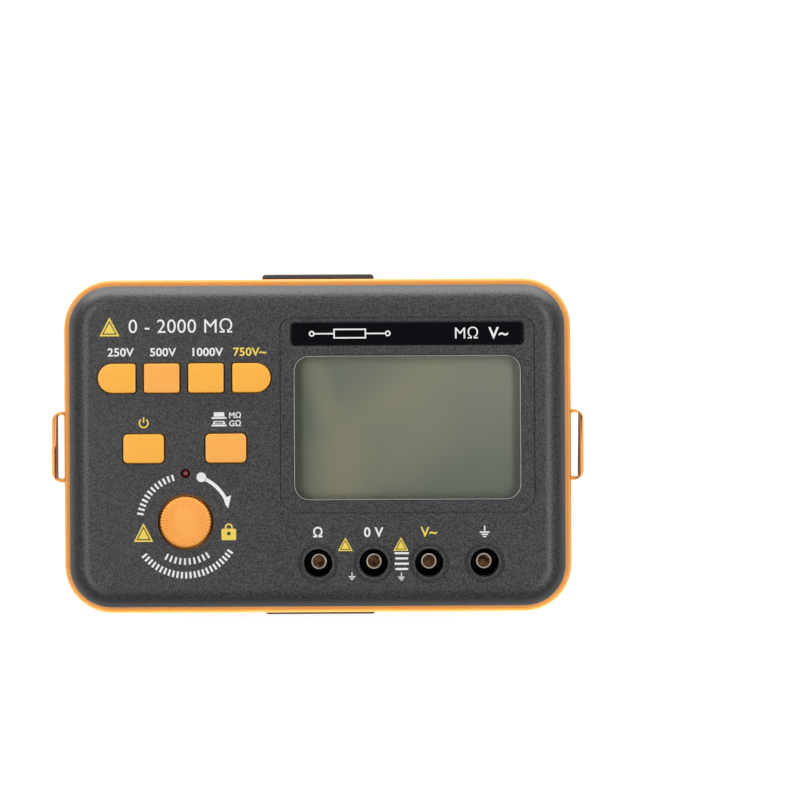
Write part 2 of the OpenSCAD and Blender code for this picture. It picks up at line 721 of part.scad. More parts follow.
module battery_wires() for (k = [0, 1]) color(k == 0 ? [0.75, 0.1, 0.1] : [0.1, 0.1, 0.1]) {
  tab = [tab_x[k], bay_h / 2 - plate_t / 2, 24];
  pad = [tab_x[k] * 0.2, 14, board_z];
  lift = [0, 0, 1];
  steps = 14;
  bend = [for (i = [0:steps]) let (t = i / steps, s = t * t * (3 - 2 * t), way = pad - tab - 2 * lift)
    tab + lift + [way[0] * s, way[1] * s, way[2] * t]];
  wire(concat([tab], bend, [pad]), wire_r, [1, 0, 0], 8);
}

front_case();
rear_case();
bumper_band();
battery_door();
door_screws();
case_screws();
rubber_feet();
rear_label();
title_plate();
display_window();
lcd_glass();
lcd_frame();
zebra_strips();
display_board();
measuring_chip();
main_board();
board_screws();
board_link();
transformer_core();
transformer_bobbin();
transformer_winding();
film_capacitors();
electrolytic_capacitors();
converter_chip();
precision_resistors();
switching_transistor();
trimmer_pots();
voltage_switch_body();
interlock_bar();
button_250v();
plunger_250v();
spring_250v();
button_500v();
plunger_500v();
spring_500v();
button_1000v();
plunger_1000v();
spring_1000v();
button_750v();
plunger_750v();
spring_750v();
power_button();
power_plunger();
power_spring();
power_switch_body();
range_button();
range_plunger();
range_spring();
range_switch_body();
test_knob();
test_stem();
test_spring();
test_switch_body();
test_lamp();
jack_sleeves();
jack_contacts();
aa_cells();
battery_springs();
battery_plates();
battery_wires();
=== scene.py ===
"""Looks of the insulation resistance tester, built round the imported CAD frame.

Meshes are built in millimetres in the row frame and stored in metres. Places and sizes come from the
CAD nodes, through span() and solids().
"""

import json
import math
from types import SimpleNamespace

import bmesh
import bpy
from mathutils import Matrix, Vector


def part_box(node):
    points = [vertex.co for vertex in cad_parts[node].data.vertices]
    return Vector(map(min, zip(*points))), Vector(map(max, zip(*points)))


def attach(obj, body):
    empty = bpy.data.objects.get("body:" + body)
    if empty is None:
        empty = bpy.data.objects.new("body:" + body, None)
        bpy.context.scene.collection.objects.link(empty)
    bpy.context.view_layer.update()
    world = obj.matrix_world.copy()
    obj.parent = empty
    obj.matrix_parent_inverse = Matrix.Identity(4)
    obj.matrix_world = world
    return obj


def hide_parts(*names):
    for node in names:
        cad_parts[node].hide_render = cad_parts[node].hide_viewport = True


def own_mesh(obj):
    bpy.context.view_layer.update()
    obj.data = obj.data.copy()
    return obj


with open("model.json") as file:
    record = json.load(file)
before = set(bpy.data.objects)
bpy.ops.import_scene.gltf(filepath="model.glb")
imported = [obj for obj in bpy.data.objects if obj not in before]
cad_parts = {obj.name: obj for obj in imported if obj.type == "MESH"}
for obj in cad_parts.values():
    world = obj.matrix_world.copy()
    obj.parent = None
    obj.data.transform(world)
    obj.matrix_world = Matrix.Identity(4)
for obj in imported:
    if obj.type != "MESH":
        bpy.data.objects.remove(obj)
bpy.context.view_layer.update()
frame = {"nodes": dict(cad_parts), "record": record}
SLOTS = {part["node"]: part["material_slot"] for part in frame["record"]["subparts"]}
BODIES = {node: body for body, nodes in frame["record"]["behaviour"]["bodies"].items() for node in nodes}

MM = 0.001
CORNER_STEPS = 10          # segments in a quarter of a rounded outline
ROUND_STEPS = 6            # segments in a rounded edge
LATHE_STEPS = 72
WELD = 1e-8                # metres between points that are one


# ---------- places from the frame ----------

def as_span(low, high):
    mid = (low + high) / 2
    return SimpleNamespace(low=low, high=high, mid=mid, at=(mid.x, mid.y), size=high - low)


def span(node):
    """Corners, middle and size of a CAD node, in millimetres."""
    low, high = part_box(node)
    return as_span(low / MM, high / MM)


def solids(node):
    """Spans of a CAD node's separate solids, from left to right."""
    mesh = frame["nodes"][node].data
    keys = [tuple(round(c, 6) for c in v.co) for v in mesh.vertices]
    parent = {k: k for k in keys}

    def root(k):
        while parent[k] != k:
            parent[k] = parent[parent[k]]
            k = parent[k]
        return k

    for edge in mesh.edges:
        parent[root(keys[edge.vertices[0]])] = root(keys[edge.vertices[1]])
    groups = {}
    for k in parent:
        groups.setdefault(root(k), []).append(k)
    spans = [as_span(Vector(map(min, zip(*g))) / MM, Vector(map(max, zip(*g))) / MM)
             for g in groups.values()]
    return sorted(spans, key=lambda s: (round(s.mid.x, 2), round(s.mid.y, 2)))


# ---------- mesh building ----------

def outline(w, h, radii, x=0.0, y=0.0, inset=0.0):
    """Points anticlockwise round a w by h rectangle with rounded corners, all moved in by inset."""
    if not isinstance(radii, (list, tuple)):
        radii = [radii] * 4
    points = []
    for r, (sx, sy, start) in zip(radii, ((1, 1, 0), (-1, 1, 90), (-1, -1, 180), (1, -1, 270))):
        r = max(r - inset, 0.02)
        for i in range(CORNER_STEPS + 1):
            a = math.radians(start + 90 * i / CORNER_STEPS)
            points.append((x + sx * (w / 2 - inset - r) + r * math.cos(a),
                           y + sy * (h / 2 - inset - r) + r * math.sin(a)))
    return points


def circle(r, x=0.0, y=0.0, steps=LATHE_STEPS):
    return [(x + r * math.cos(2 * math.pi * i / steps), y + r * math.sin(2 * math.pi * i / steps))
            for i in range(steps)]


def polar(centre, r, degrees):
    a = math.radians(degrees)
    return (centre[0] + r * math.cos(a), centre[1] + r * math.sin(a))


def lift(points, z):
    return [(p[0], p[1], z) for p in points]


def add(name, data):
    """New object in the scene."""
    obj = bpy.data.objects.new(name, data)
    bpy.context.scene.collection.objects.link(obj)
    return obj


def final_mesh(obj):
    """Mesh of an object or curve as the scene shows it."""
    return bpy.data.meshes.new_from_object(obj.evaluated_get(bpy.context.evaluated_depsgraph_get()))


def weld(bm):
    bmesh.ops.remove_doubles(bm, verts=bm.verts, dist=WELD)
    bmesh.ops.recalc_face_normals(bm, faces=bm.faces)


def make(name, verts, faces):
    mesh = bpy.data.meshes.new(name)
    mesh.from_pydata([[c * MM for c in v] for v in verts], [], faces)
    bm = bmesh.new()
    bm.from_mesh(mesh)
    weld(bm)
    bm.to_mesh(mesh)
    bm.free()
    return add(name, mesh)


def skin(name, rings, loop=False):
    """Closed surface through rings of points: capped at both ends, or joined end to end."""
    n, count = len(rings[0]), len(rings)
    verts = [p for ring in rings for p in ring]
    faces = []
    for i in range(count if loop else count - 1):
        a, b = i * n, (i + 1) % count * n
        faces += [(a + k, a + (k + 1) % n, b + (k + 1) % n, b + k) for k in range(n)]
    if not loop:
        faces += [tuple(range(n)), tuple(range((count - 1) * n, count * n))]
    return make(name, verts, faces)


def rounded_rings(shape, z0, z1, low=0.0, high=0.0):
    """Rings up the side of shape(inset), with its lower and upper edges rounded."""
    rings = []
    for i in range(ROUND_STEPS + 1 if low else 1):
        a = math.pi / 2 * i / ROUND_STEPS
        rings.append(lift(shape(low * (1 - math.sin(a))), z0 + low * (1 - math.cos(a))))
    for i in range(ROUND_STEPS + 1 if high else 1):
        a = math.pi / 2 * i / ROUND_STEPS
        rings.append(lift(shape(high * (1 - math.cos(a))), z1 - high * (1 - math.sin(a))))
    return rings


def slab(name, w, h, radii, z0, z1, x=0.0, y=0.0, low=0.0, high=0.0):
    return skin(name, rounded_rings(lambda inset: outline(w, h, radii, x, y, inset), z0, z1, low, high))


def lathe(name, profile, x=0.0, y=0.0, loop=False, steps=LATHE_STEPS):
    """Turned shape from (radius, z) points."""
    return skin(name, [lift(circle(r, x, y, steps), z) for r, z in profile], loop)


def block(name, mid, size):
    x, y, z = mid
    return slab(name, size[0], size[1], 0.02, z - size[2] / 2, z + size[2] / 2, x, y)


def bake(obj):
    """Applies the object's modifiers to its mesh."""
    mesh = final_mesh(obj)
    obj.modifiers.clear()
    obj.data = mesh
    return obj


def combine(obj, others, operation="DIFFERENCE"):
    """Cuts the others out of obj, or joins them to it, and removes them."""
    group = bpy.data.collections.new("tools")
    bpy.context.scene.collection.children.link(group)
    for other in others:
        bpy.context.scene.collection.objects.unlink(other)
        group.objects.link(other)
    modifier = obj.modifiers.new("combine", "BOOLEAN")
    modifier.operation = operation
    modifier.operand_type = "COLLECTION"
    modifier.collection = group
    modifier.solver = "EXACT"
    bake(obj)
    for other in others:
        bpy.data.objects.remove(other)
    bpy.data.collections.remove(group)
    return obj


def joined(name, meshes, close=False):
    """One object that holds several meshes."""
    bm = bmesh.new()
    for mesh in meshes:
        bm.from_mesh(mesh)
    if close:
        weld(bm)
    mesh = bpy.data.meshes.new(name)
    bm.to_mesh(mesh)
    bm.free()
    return add(name, mesh)


def merge(name, parts):
    """One object that holds the meshes of several, which are removed."""
    obj = joined(name, [part.data for part in parts])
    for part in parts:
        bpy.data.objects.remove(part)
    return obj


def soften(obj, width, segments=2, angle=35):
    """Rounds the edges that turn by more than angle."""
    bm = bmesh.new()
    bm.from_mesh(obj.data)
    bmesh.ops.remove_doubles(bm, verts=bm.verts, dist=1e-7)
    bmesh.ops.dissolve_limit(bm, angle_limit=math.radians(0.05), verts=bm.verts, edges=bm.edges)
    bm.to_mesh(obj.data)
    bm.free()
    bevel = obj.modifiers.new("soft_edges", "BEVEL")
    bevel.width = width * MM
    bevel.segments = segments
    bevel.limit_method = "ANGLE"
    bevel.angle_limit = math.radians(angle)
    bevel.use_clamp_overlap = False
    return bake(obj)


def shade(obj, angle=30):
    obj.data.polygons.foreach_set("use_smooth", [True] * len(obj.data.polygons))
    obj.data.set_sharp_from_angle(angle=math.radians(angle))
    normals = obj.modifiers.new("normals", "WEIGHTED_NORMAL")
    normals.keep_sharp = True
    return obj


def install(obj, finish, node=None, sharp=30):
    """Makes obj a piece with its finish. It stands for a CAD node, or else is an extra on the case."""
    shade(obj, sharp)
    obj.data.materials.clear()
    for each in finish if isinstance(finish, (list, tuple)) else [finish]:
        obj.data.materials.append(each)
    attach(obj, BODIES.get(node, "case"))
    if node:
        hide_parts(node)
    return obj


# ---------- finishes ----------

def srgb(r, g, b):
    """Linear colour of a display colour given from 0 to 255."""
    linear = [c / 3294.6 if c <= 10 else ((c / 255 + 0.055) / 1.055) ** 2.4 for c in (r, g, b)]
    return (*linear, 1.0)


def darker(colour, share):
    return (*(c * share for c in srgb(*colour)[:3]), 1)


def set_stops(node, stops):
    """Sets a ramp node's stops, each a position with a colour or a grey."""
    elements = node.color_ramp.elements
    while len(elements) < len(stops):
        elements.new(0.5)
    for element, (position, colour) in zip(elements, stops):
        element.position = position
        element.color = colour if isinstance(colour, tuple) else (colour, colour, colour, 1)


class Finish:
    """A Principled material with helpers for procedural detail, in object millimetres."""
    made = {}

    def __init__(self, name, rough=0.5, metal=0.0, **inputs):
        self.material = self.made[name] = bpy.data.materials.new(name)
        self.material.use_nodes = True
        self.nodes = self.material.node_tree.nodes
        self.links = self.material.node_tree.links
        self.shader = self.nodes["Principled BSDF"]
        self.out = self.nodes["Material Output"]
        self.set(self.shader, Roughness=rough, Metallic=metal, **inputs)
        self.place = self.nodes.new("ShaderNodeTexCoord").outputs["Object"]

    def set(self, node, **inputs):
        for key, value in inputs.items():
            numbered = key[0] == "i" and key[1:].isdigit()
            socket = node.inputs[int(key[1:]) if numbered else key.replace("_", " ")]
            if hasattr(value, "is_linked"):
                self.links.new(value, socket)
            else:
                socket.default_value = value
        return node

    def node(self, kind, props=None, **inputs):
        node = self.nodes.new(kind)
        for key, value in (props or {}).items():
            setattr(node, key, value)
        return self.set(node, **inputs)

    def math(self, operation, a, b=0.0, c=0.0):
        return self.node("ShaderNodeMath", {"operation": operation}, i0=a, i1=b, i2=c).outputs[0]

    def sub(self, a, b):
        return self.math("SUBTRACT", a, b)

    def mul(self, a, b):
        return self.math("MULTIPLY", a, b)

    def stretched(self, scale):
        return self.node("ShaderNodeMapping", Vector=self.place, Scale=scale).outputs[0]

    def noise(self, size, detail=2.0, rough=0.5, place=None, distortion=0.0):
        """Noise whose grains are about size millimetres."""
        return self.node("ShaderNodeTexNoise", Vector=place or self.place, Scale=1 / (size * MM),
                         Detail=detail, Roughness=rough, Distortion=distortion).outputs["Fac"]

    def cells(self, size):
        return self.node("ShaderNodeTexVoronoi", Vector=self.place, Scale=1 / (size * MM)).outputs["Distance"]

    def ramp(self, value, *stops):
        """Colour or grey ramp through (position, colour) stops."""
        node = self.node("ShaderNodeValToRGB", Fac=value)
        set_stops(node, stops)
        return node.outputs["Color"]

    def mix(self, factor, a, b, blend="MIX"):
        node = self.node("ShaderNodeMix", {"data_type": "RGBA", "blend_type": blend})
        self.set(node, i0=factor, i6=a, i7=b)
        return node.outputs[2]

    def axis(self, which):
        """One object coordinate, in millimetres."""
        parts = self.node("ShaderNodeSeparateXYZ", Vector=self.place)
        return self.mul(parts.outputs[which], 1 / MM)

    def between(self, value, low, high):
        """0 below low, 1 above high, smooth in between."""
        return self.node("ShaderNodeMapRange", {"interpolation_type": "SMOOTHSTEP"}, Value=value,
                         From_Min=low, From_Max=high).outputs["Result"]

    def bump(self, height, depth, strength=1.0):
        node = self.node("ShaderNodeBump", Strength=strength, Distance=depth * MM, Height=height)
        self.set(self.shader, Normal=node.outputs["Normal"])

    def colour(self, value):
        self.set(self.shader, Base_Color=value)

    def rough(self, value, low, high):
        """Roughness from low to high as value goes from 0 to 1."""
        spread = self.node("ShaderNodeMapRange", Value=value, To_Min=low, To_Max=high)
        self.set(self.shader, Roughness=spread.outputs[0])


def sand_plastic(name, dark, light, rough=0.5, grain=0.42, depth=0.03, specular=0.5):
    """Moulded plastic with a spark-eroded grain. Its bright specks are partly painted glints: their colour
    shows fully on the flats and fades towards an even mid tone on slopes, where the light catches them less.
    """
    f = Finish(name, rough, Specular_IOR_Level=specular)
    dark, light = srgb(*dark), srgb(*light)
    fine = f.noise(grain, detail=3, rough=0.65)
    pits = f.cells(grain * 1.3)
    cloud = f.noise(18, detail=2)
    slope = f.node("ShaderNodeSeparateXYZ", Vector=f.node("ShaderNodeTexCoord").outputs["Normal"]).outputs[2]
    # Painted glints: the speck colours show fully on the flats and fade towards the middle tone on slopes.
    flat = f.between(slope, 0.6, 0.93)
    middle = tuple((a + b) / 2 for a, b in zip(dark, light))
    speck_glint = f.ramp(fine, (0.43, 0.0), (0.57, 1.0))
    base = f.mix(f.math("MULTIPLY_ADD", flat, 0.75, 0.25), middle, f.mix(speck_glint, dark, light))
    f.colour(f.mix(0.3, base, f.ramp(cloud, (0.3, 0.44), (0.7, 0.56)), "OVERLAY"))
    f.rough(fine, rough - 0.05, rough + 0.08)
    f.bump(f.sub(fine, f.mul(pits, 0.5)), depth)
    return f.material


def smooth_plastic(name, colour, deep, rough=0.35, texture=0.01, glow=0.06, specular=0.5):
    """Moulded plastic with a faint flow mottling and a fine polish texture."""
    f = Finish(name, rough, Specular_IOR_Level=specular, Subsurface_Weight=glow, Subsurface_Scale=1.5 * MM)
    f.set(f.shader, Subsurface_Radius=(1.0, 0.5, 0.25))
    flow = f.noise(9, detail=3, distortion=0.6)
    f.colour(f.mix(f.ramp(flow, (0.3, 0.0), (0.75, 1.0)), srgb(*colour), srgb(*deep)))
    fine = f.noise(0.25, detail=3, rough=0.6)
    f.rough(fine, rough - 0.05, rough + 0.08)
    f.bump(fine, texture)
    return f.material


def metal(name, colour, rough=0.25, streak=(1, 1, 14), depth=0.006):
    """Plated or drawn metal with fine drawing lines and uneven sheen."""
    f = Finish(name, rough, 1.0)
    lines = f.noise(0.6, detail=4, place=f.stretched(streak))
    cloud = f.noise(2.5, detail=2)
    f.colour(f.mix(cloud, srgb(*colour), darker(colour, 0.72)))
    f.rough(lines, rough * 0.7, rough * 1.5)
    f.bump(lines, depth)
    return f.material


def worn_metal_painted_glow(name, light, dark, glow):
    """Dull plated metal in a deep well, with a painted glow: a little emission that stands in for the light
    its walls pass to one another.
    """
    f = Finish(name, 0.5, 0.8, Emission_Strength=glow)
    patches = f.mix(f.ramp(f.noise(1.6, detail=3), (0.35, 0.0), (0.65, 1.0)), srgb(*dark), srgb(*light))
    f.colour(patches)
    f.set(f.shader, Emission_Color=patches)
    f.bump(f.noise(0.5), 0.01)
    return f.material


def circuit_board(name):
    """Green solder mask over a pattern of tracks, with bright pads."""
    f = Finish(name, 0.32)
    tracks = f.node("ShaderNodeTexBrick", Vector=f.place, Scale=1 / (5 * MM), Mortar_Size=0.05,
                    Color1=(0, 0, 0, 1), Color2=(0.4, 0.4, 0.4, 1), Mortar=(1, 1, 1, 1)).outputs["Color"]
    pads = f.ramp(f.cells(4.5), (0.11, 1.0), (0.13, 0.0))
    mask = f.mix(tracks, srgb(12, 74, 44), srgb(30, 112, 66))
    f.colour(f.mix(pads, mask, srgb(205, 200, 185)))
    f.bump(tracks, 0.03)
    return f.material


def winding_copper(name):
    f = Finish(name, 0.3, 0.6)
    turns = f.node("ShaderNodeTexWave", {"bands_direction": "Z"}, Vector=f.place, Scale=400,
                   Distortion=0.4, Detail=1).outputs["Fac"]
    f.colour(f.mix(turns, srgb(120, 50, 22), srgb(214, 118, 60)))
    f.bump(turns, 0.15)
    return f.material


def clear_window(name):
    """Clear acrylic: what lies behind shows through, with a soft reflection over it."""
    f = Finish(name)
    clear = f.node("ShaderNodeBsdfTransparent", Color=(0.93, 0.95, 0.93, 1))
    gloss = f.node("ShaderNodeBsdfGlossy", Color=(1, 1, 1, 1), Roughness=0.08)
    facing = f.node("ShaderNodeFresnel", IOR=1.45)
    haze = f.ramp(f.noise(14, detail=2), (0.35, 0.85), (0.7, 1.0))
    amount = f.mul(facing.outputs[0], haze)
    mixed = f.node("ShaderNodeMixShader", Fac=amount, i1=clear.outputs[0], i2=gloss.outputs[0])
    f.links.new(mixed.outputs[0], f.out.inputs["Surface"])
    return f.material


def display_glass(name, area):
    """Reflective display at rest, grey green, with painted light on it: darker at the bottom and lighter in
    the top right corner, painted shade along the left edge, and soft warm streaks of painted reflection that
    meet in a V.
    """
    f = Finish(name, 0.34, Specular_IOR_Level=0.35)
    x, y = f.axis(0), f.axis(1)

    def streak(x0, y0, x1, y1, width):
        """1 along a line between two points, given as shares of the display, fading over width."""
        ax, ay = area.low.x + x0 * area.size.x, area.low.y + y0 * area.size.y
        bx, by = (x1 - x0) * area.size.x, (y1 - y0) * area.size.y
        dx, dy = f.sub(x, ax), f.sub(y, ay)
        dot = f.math("ADD", f.mul(dx, bx), f.mul(dy, by))
        t = f.math("MINIMUM", f.math("MAXIMUM", f.math("DIVIDE", dot, bx * bx + by * by), 0.0), 1.0)
        off_x = f.sub(dx, f.mul(t, bx))
        off_y = f.sub(dy, f.mul(t, by))
        far = f.math("SQRT", f.math("ADD", f.mul(off_x, off_x), f.mul(off_y, off_y)))
        return f.sub(1.0, f.between(far, 0, width))

    # Painted shading: darker at the bottom, lighter towards the top right corner.
    up = f.between(y, area.low.y, area.high.y)
    across = f.between(x, area.low.x, area.high.x)
    base = f.mix(up, LCD_LOW, f.mix(across, LCD_HIGH, LCD_LIT_CORNER))
    # Painted shade along the left edge, where the window's wall shades the display.
    left = f.sub(1.0, f.between(x, area.low.x + 2, area.low.x + 8.5))
    base = f.mix(f.mul(left, 0.8), base, LCD_LEFT_SHADE)
    # Painted reflections: soft warm streaks of studio light.
    for x0, y0, x1, y1, width, amount in LCD_SHEEN_STREAKS:
        base = f.mix(f.mul(streak(x0, y0, x1, y1, width), amount), base, LCD_SHEEN_COLOUR)
    fine = f.noise(0.5, detail=2)
    f.colour(f.mix(0.06, base, f.ramp(fine, (0.3, 0.35), (0.7, 0.65)), "OVERLAY"))
    f.bump(fine, 0.002)
    return f.material


def ink(name, colour):
    f = Finish(name, 0.45)
    f.colour(f.mix(f.noise(0.3, detail=3), srgb(*colour), darker(colour, 0.9)))
    f.bump(f.noise(0.2), 0.004)
    return f.material


def two_wire_insulation(name):
    """Red on the left wire and black on the right one."""
    f = Finish(name, 0.42)
    side = f.math("GREATER_THAN", f.axis(0), 0)
    shade_ = f.noise(0.8, detail=2)
    red = f.mix(shade_, srgb(170, 22, 20), srgb(200, 36, 30))
    f.colour(f.mix(side, red, srgb(22, 22, 24)))
    f.bump(shade_, 0.01)
    return f.material


def label_film(name, area):
    """Blank satin film with a thin printed border."""
    f = Finish(name, 0.35, 0.35)
    edge = f.math("MAXIMUM", *(f.sub(f.math("ABSOLUTE", f.sub(f.axis(i), area.mid[i])), area.size[i] / 2)
                               for i in (0, 1)))
    line = f.mul(f.math("GREATER_THAN", edge, -2.2), f.math("LESS_THAN", edge, -1.8))
    silver = f.mix(f.noise(0.5, place=f.stretched((12, 1, 1))), srgb(178, 180, 184), srgb(205, 206, 209))
    f.colour(f.mix(line, silver, srgb(60, 60, 62)))
    f.bump(f.noise(0.3), 0.003)
    return f.material


lcd_area = span("lcd_glass")
# Display colours with painted light: bottom, top and top right corner make it lighter upwards and to the
# right; next come the painted shade of the left edge and the warm colour of the painted reflections.
LCD_LOW, LCD_HIGH, LCD_LIT_CORNER = srgb(131, 132, 125), srgb(140, 140, 130), srgb(162, 158, 148)
LCD_LEFT_SHADE, LCD_SHEEN_COLOUR = srgb(106, 108, 97), srgb(178, 166, 140)
# Painted reflection streaks: both ends as shares of the display, width in millimetres, strength.
LCD_SHEEN_STREAKS = ((0.08, 0.98, 0.16, 0.6, 6, 0.4), (0.21, -0.2, 0.21, 0.3, 14, 0.55),
               (0.24, 0.52, 0.62, 0.9, 11, 0.38), (0.42, 0.3, 0.55, 0.5, 18, 0.35))
# The light end of the speck colours stands in for glints of the lights in the grain.
case_grey = sand_plastic("case_grey", (4, 4, 5), (66, 66, 68), rough=0.38, grain=0.42, specular=0.65)
rear_grey = sand_plastic("rear_grey", (38, 38, 40), (64, 64, 67), rough=0.45)
band_orange = smooth_plastic("band_orange", (255, 174, 84), (252, 168, 78), rough=0.42, glow=0.34)
button_orange = smooth_plastic("button_orange", (253, 183, 70), (252, 178, 66), rough=0.3)
# A warmer copy of the button orange for the 500V and range caps: painted light, for the different way light
# falls on these two caps.
warm_orange = smooth_plastic("warm_orange", (253, 178, 84), (252, 174, 78), rough=0.3)
knob_orange = smooth_plastic("knob_orange", (253, 172, 76), (250, 166, 70), rough=0.4)
strip_black = smooth_plastic("strip_black", (7, 8, 12), (11, 12, 16), rough=0.14, texture=0.002,
                             glow=0, specular=0.3)
socket_black = smooth_plastic("socket_black", (12, 12, 13), (18, 18, 19), rough=0.4, glow=0)
smooth_plastic("switch_black", (26, 26, 28), (36, 36, 38), rough=0.5, glow=0)
lamp_red = smooth_plastic("lamp_red", (104, 4, 8), (84, 3, 6), rough=0.08, texture=0.001, glow=0.2,
                          specular=0.8)
smooth_plastic("nylon", (232, 230, 218), (220, 216, 200), rough=0.4, glow=0.2)
foot_rubber = sand_plastic("foot_rubber", (20, 20, 20), (36, 36, 36), rough=0.75, grain=0.3)
sand_plastic("zebra_rubber", (170, 90, 100), (205, 130, 138), rough=0.6, grain=0.3)
# Light grey of the lens's edge chamfer: a painted highlight where the edge catches the light.
lens_edge = smooth_plastic("lens_edge", (176, 178, 174), (150, 152, 148), rough=0.2, glow=0.2)
sand_plastic("chip_black", (24, 24, 26), (38, 38, 40), rough=0.5, grain=0.12, depth=0.01)
sand_plastic("ferrite", (48, 48, 52), (78, 78, 82), rough=0.55, grain=0.25, depth=0.02)
smooth_plastic("film_red", (168, 44, 24), (140, 34, 20), rough=0.25)
smooth_plastic("can_blue", (28, 38, 92), (22, 30, 76), rough=0.3)
smooth_plastic("resistor_blue", (96, 160, 196), (80, 140, 180), rough=0.35)
smooth_plastic("trimmer_blue", (36, 78, 178), (30, 66, 156), rough=0.4)
cell_blue = smooth_plastic("cell_blue", (30, 58, 120), (24, 48, 104), rough=0.22, texture=0.003)
# Painted light in the sockets: the lip is bright, a painted highlight, and the bore dark brown, partly the
# metal's own tone and partly painted shade.
contact_lip = worn_metal_painted_glow("contact_lip", (236, 224, 208), (190, 174, 156), 0.45)
contact_bore = worn_metal_painted_glow("contact_bore", (146, 110, 80), (52, 38, 28), 0.3)
steel = metal("steel", (196, 198, 202), rough=0.28)
nickel = metal("nickel", (214, 204, 186), rough=0.22)
circuit_board("board_green")
winding_copper("copper_winding")
window_clear = clear_window("window_clear")
lcd_grey = display_glass("lcd_grey", lcd_area)
two_wire_insulation("wire_insulation")
label_film("label_silver", span("rear_label"))
white_ink = ink("white_ink", (238, 238, 238))
yellow_ink = ink("yellow_ink", (242, 212, 82))

# Slots whose finish goes by another name here.
FINISH_OF = {"lcd_frame": "switch_black", "black_gloss": "strip_black", "sleeve_black": "socket_black",
             "cell_jacket": "cell_blue"}
for cad_node, cad_slot in SLOTS.items():
    materials = frame["nodes"][cad_node].data.materials
    materials.clear()
    materials.append(Finish.made[FINISH_OF.get(cad_slot, cad_slot)])


# ---------- places ----------

front = span("front_case")
band = span("bumper_band")
rear = span("rear_case")
window = span("display_window")
strip = span("title_plate")
door = span("battery_door")
knob = span("test_knob")
lamp = span("test_lamp")
sockets = solids("jack_contacts")
sleeves = solids("jack_sleeves")
case_screws = solids("case_screws")
board_screws = solids("board_screws")
feet = solids("rubber_feet")
cells = solids("aa_cells")
door_screws = solids("door_screws")

# Sizes in millimetres.
LUG_OUT, LUG_H, LUG_WIRE, LUG_T = 3.7, 21, 1.0, 8.6
PAD_W, PAD_DEEP, PAD_FOOT, PAD_TOPS = 33.4, 10, 12, (41, 50)
BAY_W, BAY_TOP = 90.6, 20        # battery bay
LAMP_R = 1.25
LAMP_FLANGE_Z = 62.4
KNOB_HOLE_R = 8.2
COLLAR_R, COLLAR_BORE, COLLAR_FOOT = 10.4, 9, 58.5      # guide round the knob's flange
POST_FOOT = 50.2                 # foot of the front case's screw posts
STEM_BORE = 3.06
SCREW_BORE = 1.6
PANEL_WALL = 2.4
FRONT_CORNER = 12.4
FRONT_EASE = 6.4                 # how far in from its edge the panel starts to fall away
FRONT_DROP = 3.6                 # how far it has fallen where it turns down to the band
PANEL_INSET = 0.25               # how far the panel's outline stands in from the case's
SKIRT_STEP = 1.75
FRONT_WALL = 3.95
BODY_DROP = 2.2                  # how far the rear body steps in below its rim
REACH = 5                        # how far a cutter passes through what it cuts

panel_z = front.high.z
under_panel = panel_z - PANEL_WALL
band_top, band_foot = band.high.z, band.low.z
band_w = band.size.x - 2 * LUG_OUT
rear_rim_z = band_foot - 8.5
rear_side = front.size.x / 2 - BODY_DROP

BUTTONS = {
    "button_250v": ((0.7, 4.25, 4.25, 0.7), button_orange),
    "button_500v": (0.7, warm_orange),
    "button_1000v": (0.7, button_orange),
    "button_750v": ((4.25, 0.7, 0.7, 4.25), button_orange),
    "power_button": (1.3, button_orange),
    "range_button": (1.3, warm_orange),
}
CAP_FLANGE = 1.0
BUTTON_PLAY = 0.35
WELL_R = 4.2
WELL_RINGS = (4.98, 5.52)
GROOVE_W, GROOVE_DEEP = 0.34, 0.4
FRAME_SIZE, FRAME_RADII, FRAME_UP = (74.2, 56.9), (3.5, 3.5, 5, 5), 3.7    # groove round strip and display


# ---------- case ----------

def button_shape(node, radii, grow=0.0):
    """Outline function of a button's cap; the CAD node's box holds its flange too."""
    box = span(node)
    w, h = box.size.x - 2 * CAP_FLANGE, box.size.y - 2 * CAP_FLANGE
    return lambda inset: outline(w, h, radii, *box.at, inset - grow)


def through(name, shape, z0, z1):
    return skin(name, [lift(shape(0), z0), lift(shape(0), z1)])


def ring_cutter(shape):
    """Cutter for a fine groove in the panel, just outside shape."""
    near, far = shape(0), shape(-GROOVE_W)
    low, high = panel_z - GROOVE_DEEP, panel_z + 1
    return skin("groove", [lift(near, low), lift(near, high), lift(far, high), lift(far, low)], loop=True)


def front_outline(inset=0.0):
    """Outline of the front case where it meets the band."""
    return outline(front.size.x, front.size.y, FRONT_CORNER, inset=inset)


def panel_outline(inset=0.0):
    """Outline of the part of the front case that stands above the band."""
    return front_outline(PANEL_INSET + inset)


def eased_rings(shape, z1, across, drop, power=2.2):
    """Rings of an edge that leaves the flat top without a kink and steepens all the way out."""
    steps = 2 * ROUND_STEPS
    return [lift(shape(across * i / steps), z1 - drop * (1 - i / steps) ** power) for i in range(steps + 1)]


def turned_posts(places, r, z0, z1):
    return [lathe("post", [(r, z0), (r, z1)], *s.at) for s in places]


